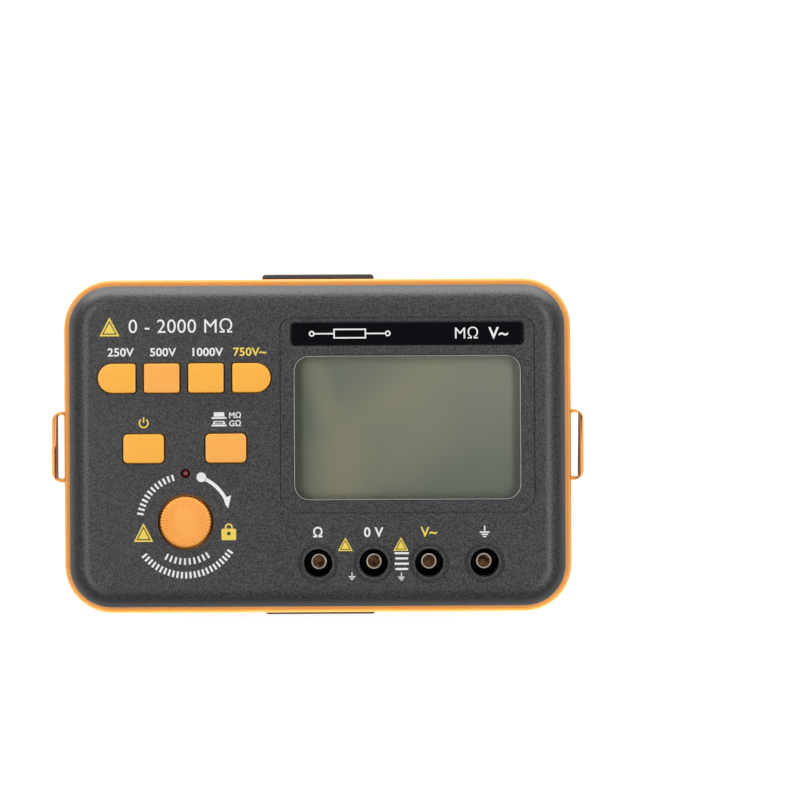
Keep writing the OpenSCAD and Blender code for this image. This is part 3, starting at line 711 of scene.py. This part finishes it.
def build_front_shell():
    skirt = front_outline(SKIRT_STEP)
    rings = [lift(skirt, front.low.z), lift(skirt, band_top)]
    rings += [lift(panel_outline(), band_top), lift(panel_outline(), panel_z - FRONT_DROP - 0.4)]
    rings += eased_rings(panel_outline, panel_z, FRONT_EASE, FRONT_DROP)
    shell = skin("front_shell", rings)
    cavity = rounded_rings(lambda inset: front_outline(FRONT_WALL + inset), front.low.z - 1, under_panel,
                           high=3.2)
    combine(shell, [skin("cavity", cavity)])
    posts = turned_posts(case_screws, 4, POST_FOOT, under_panel + 1)
    for s in board_screws:
        posts += turned_posts([s], 3.1 if s.low.z < rear_rim_z else 2.6, s.low.z + 3.2, under_panel + 1)
    posts += turned_posts([knob], COLLAR_R, COLLAR_FOOT, under_panel + 1)
    combine(shell, posts, "UNION")

    low, top = under_panel - 1, panel_z + REACH
    cuts = [through("opening", button_shape(n, radii, BUTTON_PLAY), low, top)
            for n, (radii, _) in BUTTONS.items()]
    cuts.append(lathe("knob_hole", [(COLLAR_BORE, 57), (COLLAR_BORE, under_panel),
                                    (KNOB_HOLE_R, under_panel + 0.01), (KNOB_HOLE_R, top)], *knob.at))
    cuts += turned_posts([lamp], LAMP_R + 0.1, 60, top) + turned_posts(sockets, WELL_R, low, top)
    cuts.append(slab("window_cut", window.size.x - 2.4, window.size.y - 2.4, 4.7, low, top, *window.at))
    cuts.append(slab("strip_cut", strip.size.x + 0.3, strip.size.y + 0.3, 1.3, strip.low.z, top, *strip.at))
    cuts += turned_posts(case_screws, 1.5, 49, 64)
    for s in board_screws:
        cuts += turned_posts([s], 1.3, s.low.z + 2, s.low.z + 13)
    combine(shell, cuts)
    soften(shell, 0.1)
    grooves = [ring_cutter(lambda inset, s=s, r=r: circle(r - inset, *s.at))
               for s in sockets for r in WELL_RINGS]
    grooves.append(ring_cutter(lambda inset: outline(*FRAME_SIZE, FRAME_RADII, window.mid.x,
                                                     window.mid.y + FRAME_UP, inset)))
    combine(shell, grooves)
    install(shell, case_grey, "front_case")


def build_band():
    """Orange band: softly rounded ring with a fixed strap lug at each end."""
    def hoop(inset):
        return outline(band_w, band.size.y, 14.2, inset=inset)

    outer = rounded_rings(hoop, band_foot, band_top, low=1.0, high=1.0)
    bore = front_outline(SKIRT_STEP - 0.1)
    ring = skin("bumper_band_skin", outer + [lift(bore, band_top), lift(bore, band_foot)], loop=True)
    lugs = []
    lug_z = (band_foot + band_top - LUG_T) / 2
    slot_w = LUG_OUT - LUG_WIRE
    for side in (-1, 1):
        x = side * (band_w / 2 + LUG_OUT - 5)
        lug = slab("lug", 10, LUG_H, 3, lug_z, lug_z + LUG_T, x, low=0.3, high=0.3)
        slot_x = side * (band_w / 2 + slot_w / 2)
        combine(lug, [slab("slot", slot_w, LUG_H - 2 * LUG_WIRE, 0.8, lug_z - 1, lug_z + LUG_T + 1, slot_x)])
        combine(lug, [block("trim", (side * (band_w / 2 - 5), 0, band_top - 4), (9, LUG_H + 4, 20))])
        lugs.append(soften(lug, 0.25, 2, 50))
    combine(ring, lugs, "UNION")
    install(ring, band_orange, "bumper_band")


def build_rear_shell():
    """Rear case: drafted body under a rim, two outer pads, a battery bay and screw wells."""
    def wall_outline(inset=0.0):
        return outline(front.size.x - 2 * BODY_DROP, front.size.y - 2 * BODY_DROP, 10.2, inset=inset)

    draft = 1.0
    rings = rounded_rings(lambda inset: wall_outline(inset + draft), rear.low.z, rear.low.z + 8, low=5)
    rings += [lift(wall_outline(), rear_rim_z - 1.2), lift(front_outline(0.6), rear_rim_z),
              lift(front_outline(), rear_rim_z + 0.6), lift(front_outline(), band_foot)]
    shell = skin("rear_shell", rings)
    pads = [slab("pad", PAD_W, PAD_DEEP, 1, PAD_FOOT, top, 0, side * (rear.high.y - PAD_DEEP / 2),
                 low=1.2, high=0.6) for side, top in zip((-1, 1), PAD_TOPS)]
    combine(shell, pads, "UNION")
    cavity = slab("cavity", front.size.x - 9.6, front.size.y - 9.6, 7.6, rear.low.z + 2.6, band_foot + 1)
    bay = span("battery_plates")
    combine(cavity, [block("bay_box", (0, 0, 11), (BAY_W + 4, bay.size.y + 4, 22)),
                     block("ledge", (0, 0, 3.5), (door.size.x, door.size.y, 7)),
                     *turned_posts(case_screws, 4.4, 0, 50), *turned_posts(door_screws, 3, 0, 13)])
    for cuts in (
            [cavity],
            [slab("rebate", front.size.x - 3.1, front.size.y - 3.1, 10.9, front.low.z - 0.2,
                  band_foot + 1.5)],
            [block("bay", (0, 0, BAY_TOP / 2), (BAY_W, bay.size.y, BAY_TOP))],
            [slab("door_seat", door.size.x + 0.4, door.size.y + 0.4, 2.2, 0, rear.low.z + 2.4)],
            turned_posts(case_screws, 3.2, 0, 44) + turned_posts(feet, 4.6, 0, rear.low.z + 0.5),
            turned_posts(case_screws, SCREW_BORE, 43, 51) + turned_posts(door_screws, 1.55, 0, 11),
            [block("tab_slot", (side * 37.5, bay.high.y - 0.2, BAY_TOP + 1), (3.4, 0.8, 6))
             for side in (-1, 1)],
            [slab("grip", 3, 46, 0.4, 14 + 4 * i, 15.2 + 4 * i, side * (rear_side + 0.9), low=0.3, high=0.3)
             for side in (-1, 1) for i in range(7)]):
        combine(shell, cuts)
    soften(shell, 0.25)
    install(shell, rear_grey, "rear_case")


def build_door():
    plate = slab("battery_door_skin", door.size.x, door.size.y, 2, door.low.z, door.high.z,
                 low=0.5, high=0.2)
    cuts = turned_posts(door_screws, 2.8, 0, door.low.z + 1.2)
    cuts.append(slab("label_seat", 70.4, 36.4, 1, 0, door.low.z + 0.15))
    combine(plate, cuts)
    grips = [slab("grip", 1.1, 5, 0.5, 0, door.low.z + 0.5, i * 2.4, -30.5) for i in range(-4, 5)]
    combine(plate, grips + turned_posts(door_screws, SCREW_BORE, 0, 5))
    soften(plate, 0.15)
    install(plate, rear_grey, "battery_door")


def build_screws(node, places, head_r, head_h, shank_r):
    """Pan-head cross screws standing head down, with a ribbed shank."""
    screws = []
    for s in places:
        z, top = s.low.z, s.high.z
        profile = [(0.02, z), (head_r - 0.5, z), (head_r - 0.12, z + 0.25), (head_r, z + 0.6),
                   (head_r, z + head_h), (shank_r, z + head_h)]
        pitch = 0.9
        for i in range(int((top - z - head_h) / pitch)):
            low = z + head_h + pitch * i
            profile += [(shank_r, low + 0.15), (shank_r - 0.3, low + 0.45), (shank_r, low + 0.75)]
        profile += [(shank_r, top - 0.2), (0.02, top)]
        screw = lathe("screw", profile, *s.at, steps=32)
        for size in ((head_r * 1.15, 0.55, 1.3), (0.55, head_r * 1.15, 1.3)):
            combine(screw, [block("slot", (*s.at, z), size)])
        screws.append(screw)
    install(merge(node + "_set", screws), steel, node)


def build_feet():
    profile = [(0.02, 0.25), (2.6, 0.12), (3.3, 0), (3.9, 0.05), (4.3, 0.35), (4.5, 0.8), (4.5, 2.5),
               (0.02, 2.5)]
    obj = merge("feet_set", [lathe("foot", profile, *s.at, steps=48) for s in feet])
    install(obj, foot_rubber, "rubber_feet")


build_front_shell()
build_band()
build_rear_shell()
build_door()
build_screws("door_screws", door_screws, head_r=2.6, head_h=1.0, shank_r=1.45)
build_screws("case_screws", case_screws, head_r=2.9, head_h=2.2, shank_r=1.45)
build_feet()


# ---------- panel fittings ----------

def build_strip():
    obj = slab("title_strip", strip.size.x, strip.size.y, 1.2, strip.low.z, strip.high.z, *strip.at,
               high=0.25)
    install(obj, strip_black, "title_plate")


def build_window():
    """Clear lens with a chamfer round its edge painted light grey, a painted highlight, over a wider flange
    behind the panel.
    """
    step, corner = 1.3, 4.6
    lens_top = window.high.z

    def lens(inset):
        return outline(window.size.x - 2 * step, window.size.y - 2 * step, corner, *window.at, inset)

    flange = outline(window.size.x, window.size.y, 2, *window.at)
    rings = [lift(flange, window.low.z), lift(flange, under_panel - 0.05), lift(lens(0), under_panel - 0.05),
             lift(lens(0), lens_top - 0.35), lift(lens(0.12), lens_top - 0.1), lift(lens(0.35), lens_top)]
    obj = skin("display_lens", rings)
    install(obj, [window_clear, lens_edge], "display_window")
    # Chamfer faces take the painted highlight.
    for face in obj.data.polygons:
        in_rim = face.center.z / MM > under_panel + 0.3 and abs(face.normal.z) < 0.999
        face.material_index = 1 if in_rim else 0


def build_display():
    lcd = lcd_area
    obj = slab("display_cell", lcd.size.x, lcd.size.y, 0.5, lcd.low.z, lcd.high.z, *lcd.at, high=0.15)
    install(obj, lcd_grey, "lcd_glass")


def build_sockets():
    """Black sleeves behind the panel, each round a nickel-plated contact tube."""
    tubes, contacts = [], []
    for s, tube in zip(sockets, sleeves):
        x, y = s.at
        top, foot = tube.high.z, tube.low.z
        bore, outer, head = 2.62, 5.05, 5.9
        profile = [(bore, foot), (outer, foot), (outer, top - 2), (head, top - 2), (head, top), (WELL_R, top),
                   (WELL_R, foot + 3.4), (WELL_R - 0.4, foot + 3), (bore, foot + 3)]
        tubes.append(lathe("sleeve", profile, x, y, loop=True))
        mouth = s.high.z
        lip = [polar((2.06, mouth - 0.2), 0.2, a) for a in range(180, -1, -20)]
        profile = [(0.02, 43.4), (1.6, 43), (1.86, 43.4)] + lip
        profile += [(2.36, mouth - 0.6), (2.6, mouth - 1.2), (2.6, 44), (3.6, 44), (3.6, 41.6), (1.5, 41.6),
                    (1.5, s.low.z + 0.3), (1.2, s.low.z), (0.02, s.low.z)]
        contacts.append(lathe("contact", profile, x, y))
    install(merge("socket_sleeves", tubes), socket_black, "jack_sleeves")
    obj = install(merge("socket_contacts", contacts), [nickel, contact_lip, contact_bore], "jack_contacts")
    # Faces at the mouth get the painted highlight, faces deep in the bore the painted shade.
    for face in obj.data.polygons:
        x, y, z = face.center / MM
        off = min(math.hypot(x - s.mid.x, y - s.mid.y) for s in sockets)
        face.material_index = 1 if z > mouth - 0.25 else 2 if off < 1.9 else 0


def build_button(node, radii, finish):
    """Cap with a softly rounded, slightly crowned top and a retaining flange."""
    box = span(node)
    shape = button_shape(node, radii)
    flange = button_shape(node, radii, CAP_FLANGE)
    top, foot = box.high.z, box.low.z
    crown, edge, flange_t = 0.08, 0.28, 1.4
    rings = [lift(flange(0), foot), lift(flange(0), foot + flange_t), lift(shape(0), foot + flange_t)]
    rings += rounded_rings(shape, foot + 1.6, top - crown, high=edge)
    rings += [lift(shape(edge + 0.9), top - crown * 0.45), lift(shape(edge + 1.9), top)]
    cap = skin(node + "_cap", rings)
    combine(cap, [block("socket", (*box.at, foot + 0.55), (3.1, 3.1, 3.1))])
    install(cap, finish, node)


def build_knob():
    """Knob with a smooth middle, radial ribs towards a scalloped rim, and a flange under the panel."""
    ribs, per_rib = 48, 10
    steps = ribs * per_rib
    r, top = (knob.size.x - 2) / 2 - 0.1, knob.high.z

    def ring(radius, z, scallop=0.0, dip=0.0):
        points = []
        for i in range(steps):
            wave = (0.5 - 0.5 * math.cos(2 * math.pi * i / per_rib)) ** 0.8
            rr = radius - scallop * wave
            a = 2 * math.pi * i / steps
            points.append((knob.mid.x + rr * math.cos(a), knob.mid.y + rr * math.sin(a), z - dip * wave))
        return points

    hub_r, flange_r, flange_foot, flange_top = 4.8, 8.6, 64, 65.6
    rings = [ring(0.05, 66), ring(STEM_BORE, 66), ring(STEM_BORE, knob.low.z), ring(hub_r, knob.low.z),
             ring(hub_r, flange_foot), ring(flange_r, flange_foot), ring(flange_r, flange_top),
             ring(r, flange_top, 0.22), ring(r, top - 0.9, 0.22, 0.0), ring(r - 0.08, top - 0.5, 0.22, 0.02),
             ring(r - 0.3, top - 0.2, 0.2, 0.1), ring(r - 0.6, top - 0.06, 0.15, 0.18),
             ring(r - 1.1, top, 0, 0.24), ring(r * 0.7, top, 0, 0.2), ring(r * 0.5, top, 0, 0.1),
             ring(r * 0.42, top), ring(r * 0.25, top), ring(0.05, top)]
    obj = skin("test_knob_cap", rings)
    install(obj, knob_orange, "test_knob", sharp=60)


def build_lamp():
    """Red lamp: a clear dome on a flange, with two leads."""
    r, top = LAMP_R, lamp.high.z
    foot = LAMP_FLANGE_Z
    profile = [(0.02, foot), (1.9, foot), (1.9, foot + 1), (r, foot + 1), (r, top - r)]
    profile += [polar((0, top - r), r, a) for a in range(10, 90, 10)]
    profile.append((0.02, top))
    bulb = lathe("bulb", profile, *lamp.at, steps=40)
    leads = [block("lead", (lamp.mid.x + side * 1.27, lamp.mid.y, (lamp.low.z + foot) / 2),
                   (0.5, 0.5, foot - lamp.low.z)) for side in (-1, 1)]
    leads = merge("lamp_leads", leads)
    install(bulb, lamp_red, "test_lamp")
    bulb.name = "lamp_bulb"
    install(leads, steel)


build_strip()
build_window()
build_display()
build_sockets()
for button, (radii, finish) in BUTTONS.items():
    build_button(button, radii, finish)
build_knob()
build_lamp()


# ---------- springs and cells ----------

def coil(name, x, y, z0, z1, radius, wire, turns, axis="Z"):
    """Compression spring with closed ends, along +Z, or along Y when axis is Y."""
    steps, sides, flat = 24, 8, 0.75
    count = int((turns + 2 * flat) * steps)
    rings = []
    for i in range(count + 1):
        t = i / steps
        share = min(max((t - flat) / turns, 0), 1)
        z = z0 + wire + (z1 - z0 - 2 * wire) * share
        a = 2 * math.pi * t
        ring = []
        for k in range(sides):
            c = 2 * math.pi * k / sides
            rr, dz = radius + wire * math.cos(c), wire * math.sin(c)
            ring.append((rr * math.cos(a), rr * math.sin(a), z + dz))
        rings.append(ring)
    if axis == "Y":
        rings = [[(x + px, pz, y + py) for px, py, pz in ring] for ring in rings]
    else:
        rings = [[(x + px, y + py, pz) for px, py, pz in ring] for ring in rings]
    return skin(name, rings)


def build_button_spring(node):
    box = span(node)
    wire, turns = 0.25, 3.5
    spring = coil(node + "_coil", *box.at, box.low.z, box.high.z, box.size.x / 2 - wire, wire, turns)
    install(spring, steel, node)
    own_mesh(spring)


def build_cells():
    jackets, ends, coils = [], [], []
    plates = span("battery_plates")
    for i, s in enumerate(cells):
        way = 1 if i % 2 == 0 else -1
        r = s.size.x / 2
        x, z = s.mid.x, s.mid.z
        nub, foot = (s.high.y, s.low.y) if way > 0 else (s.low.y, s.high.y)

        def along(d):
            return nub - way * d

        def turned(name, profile):
            rings = [[(x + rr * math.cos(2 * math.pi * k / 48), y, z + rr * math.sin(2 * math.pi * k / 48))
                      for k in range(48)] for rr, y in profile]
            return skin(name, rings)

        length = abs(nub - foot)
        jackets.append(turned("jacket", [(r - 1.4, along(1.6)), (r - 0.5, along(1.65)), (r, along(2.2)),
                                         (r, along(length - 0.5)), (r - 0.5, along(length - 0.1)),
                                         (r - 1.4, along(length - 0.15))]))
        ends.append(turned("nub", [(0.02, along(0)), (2.3, along(0)), (2.7, along(0.3)), (2.7, along(1.2)),
                                   (r - 1.5, along(1.35)), (r - 1.4, along(1.7)), (0.02, along(1.7))]))
        ends.append(turned("base", [(0.02, along(length - 0.4)), (r - 1.3, along(length - 0.4)),
                                    (r - 1.6, along(length)), (0.02, along(length))]))
        start, stop = sorted((foot, plates.low.y + 0.4 if way > 0 else plates.high.y - 0.4))
        coils.append(coil("coil", x, z, start, stop, 3.6, 0.4, 3, "Y"))
    install(merge("cell_jackets", jackets), cell_blue, "aa_cells")
    install(merge("cell_ends", ends), nickel)
    install(merge("battery_coils", coils), steel, "battery_springs")


for key in ("250v", "500v", "1000v", "750v"):
    build_button_spring("spring_" + key)
for key in ("power", "range", "test"):
    build_button_spring(key + "_spring")
build_cells()


# ---------- printing: numbers, units and plain symbols ----------

def curve_mesh(name, curve):
    obj = add(name, curve)
    mesh = final_mesh(obj)
    bpy.data.objects.remove(obj)
    return mesh


class Print:
    """Ink on the panel: filled outlines and lettering, all in one thin layer."""
    THICK = 0.05

    def __init__(self, name, finish, z):
        self.name, self.finish, self.middle = name, finish, z + self.THICK / 2
        self.shapes, self.letters = [], []

    def fill(self, *outlines):
        """One filled shape; outlines after the first are holes in it."""
        self.shapes.append(outlines)

    def box(self, x, y, w, h, r=0.1):
        self.fill(outline(w, h, r, x, y))

    def text(self, words, x, y, cap, weight=0.03, width=1.0):
        curve = bpy.data.curves.new("letters", "FONT")
        curve.body = words
        curve.align_x = "CENTER"
        curve.size = cap / CAP_SHARE
        curve.offset = weight * cap
        curve.space_character = 1.04
        curve.extrude = self.THICK / 2
        curve.resolution_u = 4
        mesh = curve_mesh("letters", curve)
        for v in mesh.vertices:
            v.co = Vector((x + v.co.x * width, y - cap / 2 + v.co.y, self.middle + v.co.z)) * MM
        self.letters.append(mesh)

    def shape_mesh(self, outlines):
        curve = bpy.data.curves.new(self.name, "CURVE")
        curve.dimensions = "2D"
        curve.fill_mode = "BOTH"
        curve.extrude = self.THICK / 2 * MM
        for points in outlines:
            spline = curve.splines.new("POLY")
            spline.points.add(len(points) - 1)
            for point, (x, y) in zip(spline.points, points):
                point.co = (x * MM, y * MM, 0, 1)
            spline.use_cyclic_u = True
        mesh = curve_mesh(self.name, curve)
        for v in mesh.vertices:
            v.co.z += self.middle * MM
        return mesh

    def finish_layer(self):
        meshes = self.letters + [self.shape_mesh(outlines) for outlines in self.shapes]
        install(joined(self.name, meshes, close=True), self.finish)


def arc_ticks(layer, centre, r, height, start, stop, count):
    """Even marks along an arc, like the scale round a dial."""
    for i in range(count):
        middle = start + (stop - start) * i / (count - 1)
        half = math.degrees(TICK_W / 2 / r)
        layer.fill([polar(centre, r + up * height / 2, middle + turn * half)
                    for up, turn in ((-1, -1), (1, -1), (1, 1), (-1, 1))])


def turn_arrow(layer, centre):
    """Dot, arc and head that show which way the knob turns to lock."""
    dot_r, stroke, r0, r1 = 1.42, 0.6, 13.9, 13.6
    start, neck, tip = 70.5, 31, 17.6
    dot = polar(centre, r0, start)
    reach_angle = math.degrees(dot_r * 0.9 / r0)
    outer = [(r0 + stroke * 0.75 + (r1 - r0) * t, start - reach_angle + (neck - start + reach_angle) * t)
             for t in (i / 12 for i in range(13))]
    inner = [(r - 1.75 * stroke, a) for r, a in reversed(outer)]
    head = [(15.5, neck - 0.5), (13.05, tip), (12.72, tip + 6)]
    layer.fill([polar(centre, r, a) for r, a in outer + head + inner])
    layer.fill([polar(dot, dot_r, 360 * i / 32) for i in range(32)])


def triangle(layer, x, y, w, h):
    """Plain triangle: an outer line round a smaller filled one."""
    def corners(scale, drop):
        return [(x - w / 2 * scale, y - h / 2 + drop), (x + w / 2 * scale, y - h / 2 + drop),
                (x, y - h / 2 + drop + h * scale)]
    layer.fill(corners(1, 0), corners(0.74, h * 0.09))
    layer.fill(corners(0.56, h * 0.15))


def earth_symbol(layer, x, y, size):
    layer.box(x, y + size * 0.3, size * 0.12, size * 0.5, 0.02)
    for i, width in enumerate((0.9, 0.6, 0.28)):
        layer.box(x, y - size * 0.05 - i * size * 0.2, size * width, size * 0.12, 0.02)


def padlock(layer, x, y, w):
    body_h = w * 0.78
    low = y - w * 0.62
    layer.fill(outline(w, body_h, 0.4, x, low + body_h / 2), circle(w * 0.13, x, low + body_h * 0.58, 24))
    r_out, r_in, base = w * 0.27, w * 0.16, low + body_h + 0.02
    crown = (x, base + w * 0.09)
    arch = [polar(crown, r_out, 180 * i / 16) for i in range(17)] + [(x - r_out, base), (x - r_in, base)]
    arch += [polar(crown, r_in, 180 * i / 16) for i in range(16, -1, -1)]
    arch += [(x + r_in, base), (x + r_out, base)]
    layer.fill(arch)


def power_symbol(layer, x, y, r):
    line = 0.42
    arc = [polar((x, y), r, a) for a in range(125, 416, 15)]
    arc += [polar((x, y), r - line, a) for a in range(415, 124, -15)]
    layer.fill(arc)
    layer.box(x, y + r * 0.62, line, r * 1.1, 0.05)


def resistor_symbol(layer, x, y, w, h):
    """A resistor between two open terminals: what the tester measures."""
    line = 0.42
    body, ring_r = w * 0.4, 0.85
    layer.fill(outline(body, h, 0.1, x, y), outline(body - 2 * line, h - 2 * line, 0.05, x, y))
    lead = (w - body) / 2 - 2 * ring_r
    for side in (-1, 1):
        layer.box(x + side * (body + lead) / 2, y, lead, line, 0.02)
        end = x + side * (w / 2 - ring_r)
        layer.fill(circle(ring_r, end, y, 24), circle(ring_r - line, end, y, 24))


def cap_share():
    """Height of a capital letter at size 1 in the built-in font."""
    curve = bpy.data.curves.new("cap", "FONT")
    curve.body = "H"
    obj = add("cap", curve)
    bpy.context.view_layer.update()
    height = obj.dimensions.y
    bpy.data.objects.remove(obj)
    return height


CAP_SHARE = cap_share()
TICK_W = 0.62


def build_printing():
    white = Print("white_print", white_ink, panel_z)
    yellow = Print("yellow_print", yellow_ink, panel_z)
    row = [span(n) for n in ("button_250v", "button_500v", "button_1000v", "button_750v")]
    cap_top = row[0].high.y - CAP_FLANGE
    label_y = cap_top + 3.4
    for box, words, shift, layer in zip(row, ("250V", "500V", "1000V", "750V~"), (1.1, 0.3, 0.2, -0.5),
                                        (white, white, white, yellow)):
        layer.text(words, box.mid.x + shift, label_y, 2.3, width=1.05)
    row_mid = (row[0].low.x + row[3].high.x) / 2
    white.text("0 - 2000 M\u03a9", row_mid - 1.0, cap_top + 11.0, 3.9, weight=0)
    triangle(yellow, row[0].mid.x - 2.1, cap_top + 10.9, 5.9, 5.6)

    power, select = span("power_button"), span("range_button")
    mark_y = power.high.y - CAP_FLANGE + 3.3
    power_symbol(yellow, power.mid.x, mark_y, 1.5)
    x, y = select.mid.x - 2.0, select.high.y - CAP_FLANGE + 5.4
    white.box(x, y - 0.75, 4.4, 0.5, 0.05)
    white.fill([(x - 1.6, y - 0.35), (x + 1.6, y - 0.35), (x + 1.5, y + 0.95), (x - 1.5, y + 0.95)])
    white.box(x, y - 2.95, 4.4, 0.5, 0.05)
    white.fill([(x - 1.9, y - 2.55), (x + 1.9, y - 2.55), (x + 1.5, y - 1.65), (x - 1.5, y - 1.65)],
               [(x - 1.3, y - 2.35), (x + 1.3, y - 2.35), (x + 1.1, y - 1.95), (x - 1.1, y - 1.95)])
    white.text("M\u03a9", x + 4.7, y + 0.05, 1.6)
    white.text("G\u03a9", x + 4.7, y - 2.35, 1.6)

    centre = knob.at
    turn_arrow(white, centre)
    arc_ticks(white, centre, 13.5, 1.9, 169.5, 106, 12)
    arc_ticks(white, centre, 11.6, 1.9, -119, -57, 10)
    arc_ticks(white, centre, 15.6, 1.9, -141, -34, 24)
    padlock(yellow, knob.mid.x + 12.6, knob.mid.y - 2.7, 4.3)
    triangle(yellow, knob.mid.x - 12.4, knob.mid.y - 3.0, 5.7, 5.5)

    marks_y = sockets[0].mid.y + 9.1
    white.text("\u03a9", sockets[0].mid.x, marks_y, 2.7)
    white.text("0 V", sockets[1].mid.x, marks_y, 2.7)
    yellow.text("V~", sockets[2].mid.x, marks_y, 2.7)
    earth_symbol(white, sockets[3].mid.x, marks_y, 3.2)
    between = [(a.mid.x + b.mid.x) / 2 for a, b in zip(sockets, sockets[1:])]
    for x in between[:2]:
        triangle(yellow, x - 0.1, sockets[0].mid.y + 5.6, 4.4, 4.0)
    for i in range(4):
        white.box(between[1] + 0.1, sockets[0].mid.y + 2.9 - 1.55 * i, 4.2 - 0.5 * (i % 2), 0.6, 0.1)
    earth_symbol(white, between[1], sockets[0].mid.y - 4.0, 2.2)
    earth_symbol(white, between[0] + 1.8, sockets[0].mid.y - 3.8, 2.2)
    white.finish_layer()
    yellow.finish_layer()

    strip_print = Print("strip_print", white_ink, strip.high.z)
    resistor_symbol(strip_print, strip.mid.x - 16.8, strip.mid.y, 24, 2.9)
    strip_print.text("M\u03a9", strip.mid.x + 17.4, strip.mid.y, 3.2, weight=0)
    strip_print.text("V~", strip.mid.x + 26.8, strip.mid.y, 3.2)
    strip_print.finish_layer()


build_printing()


# ---------- floor, light and camera ----------

LIGHT_AIM = (0, 0, 0.06)
LIGHTS = (                       # name, place and size in metres, watts, and the way its height runs
    ("left_strip", (-0.58, 0, 1.2), (0.34, 1.6), 6.65, (0, 1, 0)),
    ("right_strip", (0.62, 0, 1.2), (0.34, 1.6), 7.8, (0, 1, 0)),
    ("far_softbox", (0, 0.62, 0.15), (1.3, 0.26), 5.6, (0, 0, 1)),
    ("near_softbox", (0, -0.62, 0.12), (1.3, 0.2), 8, (0, 0, 1)),
)
ROOM = ((0.0, 0.08), (0.35, 0.1), (0.6, 0.34), (0.9, 0.34), (0.985, 0.06))    # height and brightness
FLOOR_HALF = 3000


def area_light(name, place, size, power, up):
    """Softbox that faces the object."""
    data = bpy.data.lights.new(name, "AREA")
    data.shape = "RECTANGLE"
    data.size, data.size_y = size
    data.energy = power
    obj = add(name, data)
    back = (Vector(place) - Vector(LIGHT_AIM)).normalized()
    side = Vector(up).cross(back).normalized()
    rotation = Matrix((side, back.cross(side), back)).transposed()
    obj.matrix_world = Matrix.Translation(place) @ rotation.to_4x4()
    return obj


def build_world():
    """Grey room, darker low down and in a round patch of ceiling about the camera."""
    world = bpy.data.worlds.new("studio")
    world.use_nodes = True
    nodes, links = world.node_tree.nodes, world.node_tree.links
    place = nodes.new("ShaderNodeTexCoord")
    parts = nodes.new("ShaderNodeSeparateXYZ")
    ramp = nodes.new("ShaderNodeValToRGB")
    links.new(place.outputs["Generated"], parts.inputs[0])
    links.new(parts.outputs["Z"], ramp.inputs["Fac"])
    set_stops(ramp, ROOM)
    links.new(ramp.outputs["Color"], nodes["Background"].inputs["Color"])
    bpy.context.scene.world = world


def build_stage():
    corners = [(x * FLOOR_HALF, y * FLOOR_HALF, 0) for x, y in ((-1, -1), (1, -1), (1, 1), (-1, 1))]
    floor = make("floor", corners, [(0, 1, 2, 3)])
    paper = Finish("floor_paper", 0.9, Emission_Color=(1, 1, 1, 1), Emission_Strength=0.5)
    paper.colour(paper.mix(paper.noise(40), srgb(250, 250, 250), srgb(246, 246, 246)))
    floor.data.materials.append(paper.material)
    build_world()
    for name, place, size, power, up in LIGHTS:
        area_light(name, place, size, power, up)
    # The near softbox lights the band only, and no surface mirrors it.
    fill = bpy.data.objects["near_softbox"]
    fill.visible_glossy = False
    lit = bpy.data.collections.new("lit_by_near_softbox")
    lit.objects.link(bpy.data.objects["bumper_band_skin"])
    fill.light_linking.receiver_collection = lit
    bpy.context.scene.view_settings.view_transform = "Standard"


SENSOR, LENS = 36, 136.9                 # width and focal length, mm
CAMERA_SHIFT, CAMERA_DISTANCE = (24.4, 13.4), 900
CAMERA_ROLL = -0.3                       # degrees


def build_camera():
    """Straight down on the panel, from a point a little right of and above its middle."""
    data = bpy.data.cameras.new("camera")
    data.sensor_width, data.lens = SENSOR, LENS
    obj = add("camera", data)
    obj.location = Vector((*CAMERA_SHIFT, band_top + CAMERA_DISTANCE)) * MM
    obj.rotation_euler = (0, 0, math.radians(CAMERA_ROLL))
    bpy.context.scene.camera = obj


build_stage()
build_camera()
